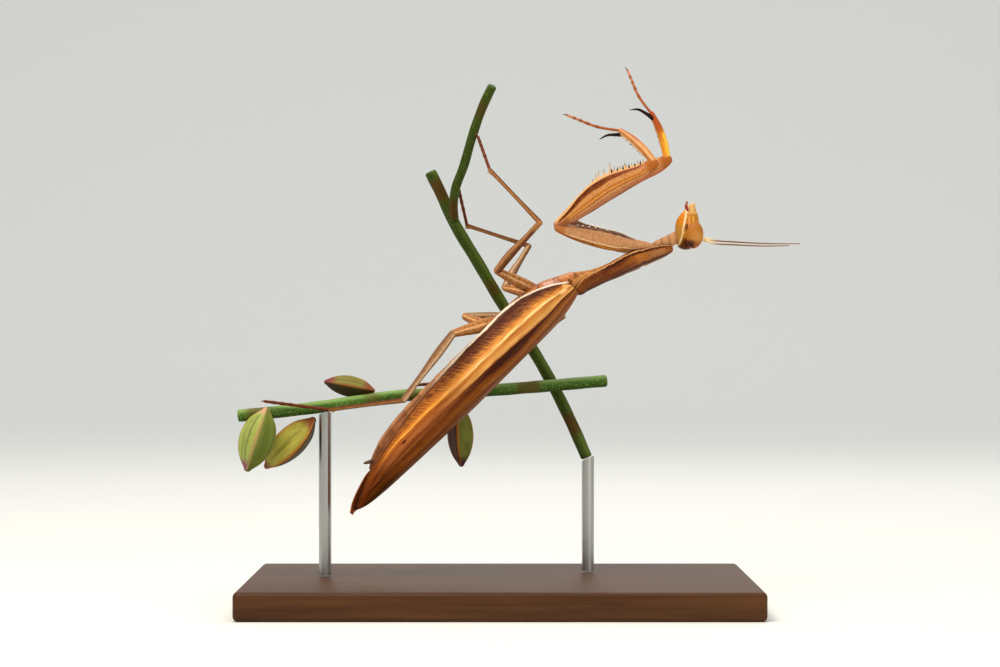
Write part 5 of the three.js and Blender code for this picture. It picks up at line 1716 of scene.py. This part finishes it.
LEGS = (
    Leg("fore_left", FORE, (11.45, 1.45, -1.6), ((167.5, -12.4), (34.5, -12.7), (135.5, 20), (164.2, -6.6))),
    Leg("fore_right", FORE, (11.7, -0.85, -2.3), ((153.6, 34.2), (34.2, -4.9), (109.7, -3.2), (117, 24)),
        {"coxa": FORE_COXA_FAR, "tibia": FORE_TIBIA_FAR},
        {"coxa": ((-0.12, 0.7, 0.72, -0.1), (0, 0.78, 0.95, -0.15), (0.25, 0.8, 1.4, 0.05),
                  (0.6, 0.75, 1.15, 0.42), (0.88, 0.65, 0.85, 0.5), (1, 0.6, 0.65, 0.25)),
         "femur": ((0, 0.5, 0.6, 0.35), (0.09, 0.6, 0.88, 0.54), (0.18, 0.66, 1.14, 0.66),
                   (0.3, 0.76, 1.4, 0.86), (0.425, 0.8, 1.57, 0.93), (0.515, 0.8, 1.6, 0.86),
                   (0.61, 0.76, 1.53, 0.71), (0.73, 0.7, 1.33, 0.35), (0.85, 0.65, 1.1, -0.2),
                   (0.93, 0.62, 0.97, -0.38), (1, 0.6, 0.8, -0.35))}, 0.55),
    Leg("mid_left", TRUNK, (-3.2, 1.5, -2.9), ((153.9, -30.2), (47.8, -34.0), (132.7, 21.8), (108.8, 38.4))),
    Leg("mid_right", TRUNK, (-3.2, -1.5, -2.9), ((167.8, 39.9), (60.7, 47.6), (162.9, -31.7), (102.7, -29.7)),
        {"femur": WALK_FEMUR}),
    Leg("hind_left", TRUNK, (-10.8, 1.75, -3.0),
        ((-164.7, -34.1), (-126, -38.9), (-171.5, 46), (172.5, -4.6))),
    Leg("hind_right", TRUNK, (-10.8, -1.8, -2.9), ((154.9, 34.9), (0, 11.5), (-143.6, -14.1), (-174.5, 4.5))),
)


def spine_pattern() -> Object:
    """Makes the unit spine, slightly swollen at its root, that every spine is a copy of."""
    stations = ((-0.02, 1.25, 1.25, 0.0), (0.12, 1.0, 1.0, 0.02), (0.55, 0.6, 0.6, 0.16),
                (0.97, 0.12, 0.12, 0.0))
    spine = loft(stations, 6, 7, (0.02, 0.25))
    note_lie(spine, stations)
    return dress(spine, SPINE_CUTICLE)


# ---------------------------------------------------------------------------------------------------------
# Perch and stand
# ---------------------------------------------------------------------------------------------------------

@dataclass(frozen=True)
class Pod:
    """A four-ribbed seed pod on its short stalk: its two ends, half-width, turn, finish and the face with
    painted shade.
    """

    start: Point
    end: Point
    half: float
    roll: float
    finish: Finish
    dark: float                   # degrees round from its first rib to the middle of the face with painted shade
    dark_edge: tuple[float, float] = (50.0, 38.0)      # degrees from that middle between which the painted shade fades in
    dark_most: float = 0.85
    hollow: float = 0.22          # how far it steps back between the ribs
    rib: Ridge = Ridge(0.0, 0.22, 0.03)        # across the sine of twice the angle round
    rib_stain: Ridge = Ridge(0.0, 0.2, 1.0)
    flutes: int = 16
    flute_depth: float = 0.012
    outline: tuple[tuple[float, float], ...] = (
        (0.05, 0.24), (0.2, 0.72), (0.38, 0.96), (0.5, 1.0), (0.66, 0.9), (0.83, 0.6), (0.95, 0.22))

    def form(self, x: Array, angle: Array) -> Array:
        """Steps the faces back from the ribs, which are narrow and stand proud."""
        across = np.sin(2 * angle)
        flutes = self.flute_depth * np.cos(self.flutes * angle)
        return 1 - self.hollow * across ** 2 + self.rib.over(across) + flutes

    def build(self, number: int) -> None:
        """Builds the pod and hands it over."""
        way = Vector(self.end) - Vector(self.start)
        pitch, swing = math.degrees(math.atan2(way.z, way.x)), math.degrees(math.asin(way.y / way.length))
        stations = [(t * way.length, size * self.half, size * self.half, 0.0) for t, size in self.outline]
        pod = shell(stations, 30, 48, (0.8, 0.8), self.form)
        points = points_of(pod)
        angle = np.arctan2(points[:, 1], points[:, 2])
        # Painted shade on the face turned from the light.
        away = np.abs((np.degrees(angle) - self.dark + 180) % 360 - 180)
        note(pod, SHADE, self.dark_most * rise(away, *self.dark_edge))
        note(pod, TONE, self.rib_stain.over(np.sin(2 * angle)))
        set_down(dress(pod, self.finish), Place(self.start, pitch, swing, self.roll).matrix())
        pod.name = f"seed_pod_{number}"
        hand_over(pod, "pod", f"perch_pod_{number}")


@dataclass
class Perch:
    """The cut stems that the animal grips, with their seed pods."""

    main_radius: float = 0.9
    main_route: tuple[Point, ...] = (
        (-10.1, 6, 62.2), (-8.8, 6.6, 59.6), (-6.65, 7.8, 54.9), (-3.3, 9.4, 49.3), (0, 10.8, 43.7),
        (5.9, 9.95, 34.6), (10.6, 8.4, 25.4), (12.6, 7.5, 20.8))
    twig_radius: float = 0.7
    twig_route: tuple[Point, ...] = (
        (-6.65, 7.8, 54.9), (-6.75, 5.6, 57.5), (-6.3, 3.7, 60.1), (-5.3, 2.2, 62.6), (-4, 0.4, 66.9),
        (-2.3, -2.2, 71.4), (-1.1, -3.6, 73.8))
    low_radius: float = 0.9
    low_route: tuple[Point, ...] = (
        (-37.2, -2.2, 27.1), (-28.3, -0.4, 28), (-24.3, 0.2, 28.5), (-19.4, 2.3, 29.2), (-14.5, 4.9, 29.8),
        (-8.7, 5.6, 30.1), (-0.7, 6, 30.6), (5.8, 6.8, 31.1), (15.5, 8.4, 31.9))
    ribs: int = 6
    rib_height: float = 0.02
    swell: float = 0.02
    swell_wave: float = 1.3       # radians for each mm along
    stain_waves: tuple[float, float] = (0.55, 0.23)
    stain_gain: float = 1.6
    stain_level: float = 0.5
    stain_most: float = 0.8
    # Each pod's last number is the middle of its face with painted shade.
    pods: tuple[Pod, ...] = (
        Pod((-33, -3.1, 28.3), (-35.9, -3.8, 19.2), 2.5, 0, POD_SKIN_GREEN, -45),
        Pod((-26.4, 0.1, 26.8), (-33.8, 1.6, 19.4), 2.45, 55, POD_SKIN_YELLOW, 45),
        Pod((-17.9, 3.1, 30.5), (-25.5, 3.6, 31.9), 1.5, 5, POD_SKIN_SMALL, -45),
        Pod((-5.9, 6.3, 28.6), (-5.6, 6.4, 19.3), 1.9, 10, POD_SKIN_RIPE, -135))

    def form(self, x: Array, angle: Array) -> Array:
        """Runs low ribs along a stem, which swells a little by turns."""
        ribs = self.rib_height * (np.cos(self.ribs * angle) - 1)
        return 1 + ribs + self.swell * np.sin(x * self.swell_wave)

    def stain(self, along: Array) -> Array:
        """Gives where a stem is stained, 0 to 1, in patches of uneven length."""
        first, second = self.stain_waves
        patches = np.sin(first * along) * np.sin(second * along + 1)
        return np.clip(self.stain_gain * patches - self.stain_level, 0, self.stain_most)

    def stem(self, name: str, node: str, points: Sequence[Point], radius: float, finish: Finish) -> None:
        """Makes a ribbed stem with flat cut ends.

        Args:
            name: The piece's name.
            node: The node that it stands for.
            points: Its route.
            radius: Its radius in millimetres.
            finish: Its finish.
        """
        stem = tube(Route(points), ((0, radius), (1, radius)), 90, 16, ends=(0.1, 0.1), form=self.form)
        note(stem, SHADE, self.stain(noted_lie(stem)[:, 0]))
        set_down(dress(stem, finish))
        stem.name = name
        hand_over(stem, "stem", node)

    def build(self) -> None:
        """Builds the stems and the pods."""
        self.stem("stem_main", "perch_main_stem", self.main_route, self.main_radius, STEM_SKIN)
        self.stem("stem_twig", "perch_twig", self.twig_route, self.twig_radius, STEM_SKIN)
        self.stem("stem_low", "perch_low_stem", self.low_route, self.low_radius, LOW_STEM_SKIN)
        for number, pod in enumerate(self.pods, 1):
            pod.build(number)


@dataclass
class Stand:
    """The plain display stand: a walnut base and two steel rods."""

    size: Point = (72.0, 48.0, 4.0)
    edge: float = 0.7
    sharp: float = 30.0           # degrees between faces past which an edge isn't shaded smooth

    def build(self, nodes: Mapping[str, Object]) -> None:
        """Builds the base and dresses the rods.

        Args:
            nodes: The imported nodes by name.
        """
        height = self.size[2]
        select_only()
        bpy.ops.mesh.primitive_cube_add(size=1.0, location=(0.0, 0.0, height / 2), scale=self.size)
        base = bpy.context.object
        settle(base, base.matrix_world.copy())
        apply_modifier(base, "BEVEL", width=self.edge, segments=4)
        bpy.ops.object.shade_smooth_by_angle(angle=math.radians(self.sharp))
        note(base, LIE, points_of(base))
        set_down(dress(base, OILED_WALNUT))
        base.name = "walnut_base"
        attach(base, BODY)
        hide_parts("stand_base")
        for side in Side:
            dress(nodes[f"stand_rod_{side.word}"], BRUSHED_STEEL)


# ---------------------------------------------------------------------------------------------------------
# Studio
# ---------------------------------------------------------------------------------------------------------

@dataclass(frozen=True)
class Lamp:
    """A soft square lamp: where it hangs, its side, its power in watts, its colour and what it lights."""

    name: str
    at: Point
    size: float
    power: float
    colour: str
    target: Point = (0.0, 0.0, 42.0)

    def build(self) -> None:
        """Hangs the lamp."""
        select_only()
        bpy.ops.object.light_add(type="AREA", location=[k * MM for k in self.at])
        lamp = bpy.context.object
        lamp.name = self.name
        lamp.data.size = self.size * MM
        lamp.data.energy = self.power
        lamp.data.color = linear(self.colour)[:3]
        aim = Vector(self.target) - Vector(self.at)
        lamp.rotation_euler = aim.to_track_quat("-Z", "Y").to_euler()


@dataclass
class Studio:
    """A pale floor that curves up behind, soft lamps, and the camera."""

    camera_at: Point = (0.0, -397.0, 38.8)
    lens: float = 100.0
    sensor: float = 36.0
    lamps: tuple[Lamp, ...] = (
        Lamp("key_lamp", (-140, -230, 400), 240, 1.7, "#fff2dc"),
        Lamp("fill_lamp", (330, -280, 120), 320, 0.4, "#fff6ec"),
        Lamp("rim_lamp", (60, 320, 330), 260, 0.3, "#ffffff"),
        Lamp("ceiling_lamp", (0, 300, 1600), 2400, 21.0, "#ffffff", (0.0, 1000.0, 200.0)))
    sky_colour: str = "#e8eef0"
    sky_strength: float = 0.34
    floor_colour: str = "#e4e4e0"
    floor_roughness: float = 0.9
    # The floor is drawn in metres: its size, and the curve and height of the backdrop.
    floor_size: Point = (3.0, 1.6, 1.0)
    curve_steps: int = 12
    curve_step: float = 0.065
    wall: float = 1.2

    def floor(self) -> None:
        """Lays the floor and curves it up into a backdrop."""
        select_only()
        bpy.ops.mesh.primitive_plane_add(size=1.0, location=(0.0, 0.0, 0.0))
        floor = bpy.context.object
        floor.name = "studio_floor"
        bpy.ops.object.mode_set(mode="EDIT")
        bpy.ops.mesh.select_all(action="SELECT")
        bpy.ops.transform.resize(value=self.floor_size, center_override=(0, 0, 0))
        bpy.ops.mesh.select_all(action="DESELECT")
        bpy.ops.object.mode_set(mode="OBJECT")
        bpy.context.tool_settings.mesh_select_mode = (False, True, False)
        for edge in floor.data.edges:
            edge.select = all(floor.data.vertices[k].co.y > 0 for k in edge.vertices)
        bpy.ops.object.mode_set(mode="EDIT")
        for k in range(self.curve_steps):
            angle = math.radians(90 * (k + 0.5) / self.curve_steps)
            step = (0.0, self.curve_step * math.cos(angle), self.curve_step * math.sin(angle))
            bpy.ops.mesh.extrude_region_move(TRANSFORM_OT_translate={"value": step})
        bpy.ops.mesh.extrude_region_move(TRANSFORM_OT_translate={"value": (0.0, 0.0, self.wall)})
        bpy.ops.object.mode_set(mode="OBJECT")
        bpy.ops.object.shade_smooth()
        paper = bpy.data.materials.new("studio_paper")
        paper.use_nodes = True
        shader = paper.node_tree.nodes["Principled BSDF"]
        shader.inputs["Base Color"].default_value = linear(self.floor_colour)
        shader.inputs["Roughness"].default_value = self.floor_roughness
        floor.data.materials.append(paper)

    def camera(self) -> None:
        """Sets the camera level, straight in front."""
        select_only()
        bpy.ops.object.camera_add(location=[k * MM for k in self.camera_at], rotation=(math.pi / 2, 0.0, 0.0))
        camera = bpy.context.object
        camera.data.lens = self.lens
        camera.data.sensor_width = self.sensor
        camera.data.clip_start = 0.01
        bpy.context.scene.camera = camera
        bpy.context.scene.view_settings.view_transform = "Standard"

    def sky(self) -> None:
        """Fills the air with an even, weak light."""
        world = bpy.data.worlds.new("studio_air")
        world.use_nodes = True
        air = world.node_tree.nodes["Background"]
        air.inputs["Color"].default_value = linear(self.sky_colour)
        air.inputs["Strength"].default_value = self.sky_strength
        bpy.context.scene.world = world

    def build(self) -> None:
        """Sets the camera, the lamps, the sky and the floor."""
        self.camera()
        for lamp in self.lamps:
            lamp.build()
        self.sky()
        self.floor()


def main() -> None:
    """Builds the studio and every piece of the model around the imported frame."""
    logging.basicConfig(level=logging.INFO, format="%(message)s")
    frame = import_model()
    Studio().build()
    Trunk().build()
    Pronotum().build()
    HeadParts().build()
    for side in Side:
        Forewing(side).build()
        Hindwing(side).build()
    pattern = spine_pattern()
    for leg in LEGS:
        leg.build(pattern)
    bpy.data.objects.remove(pattern)
    Perch().build()
    Stand().build(frame["nodes"])
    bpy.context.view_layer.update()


if __name__ == "__main__":
    main()
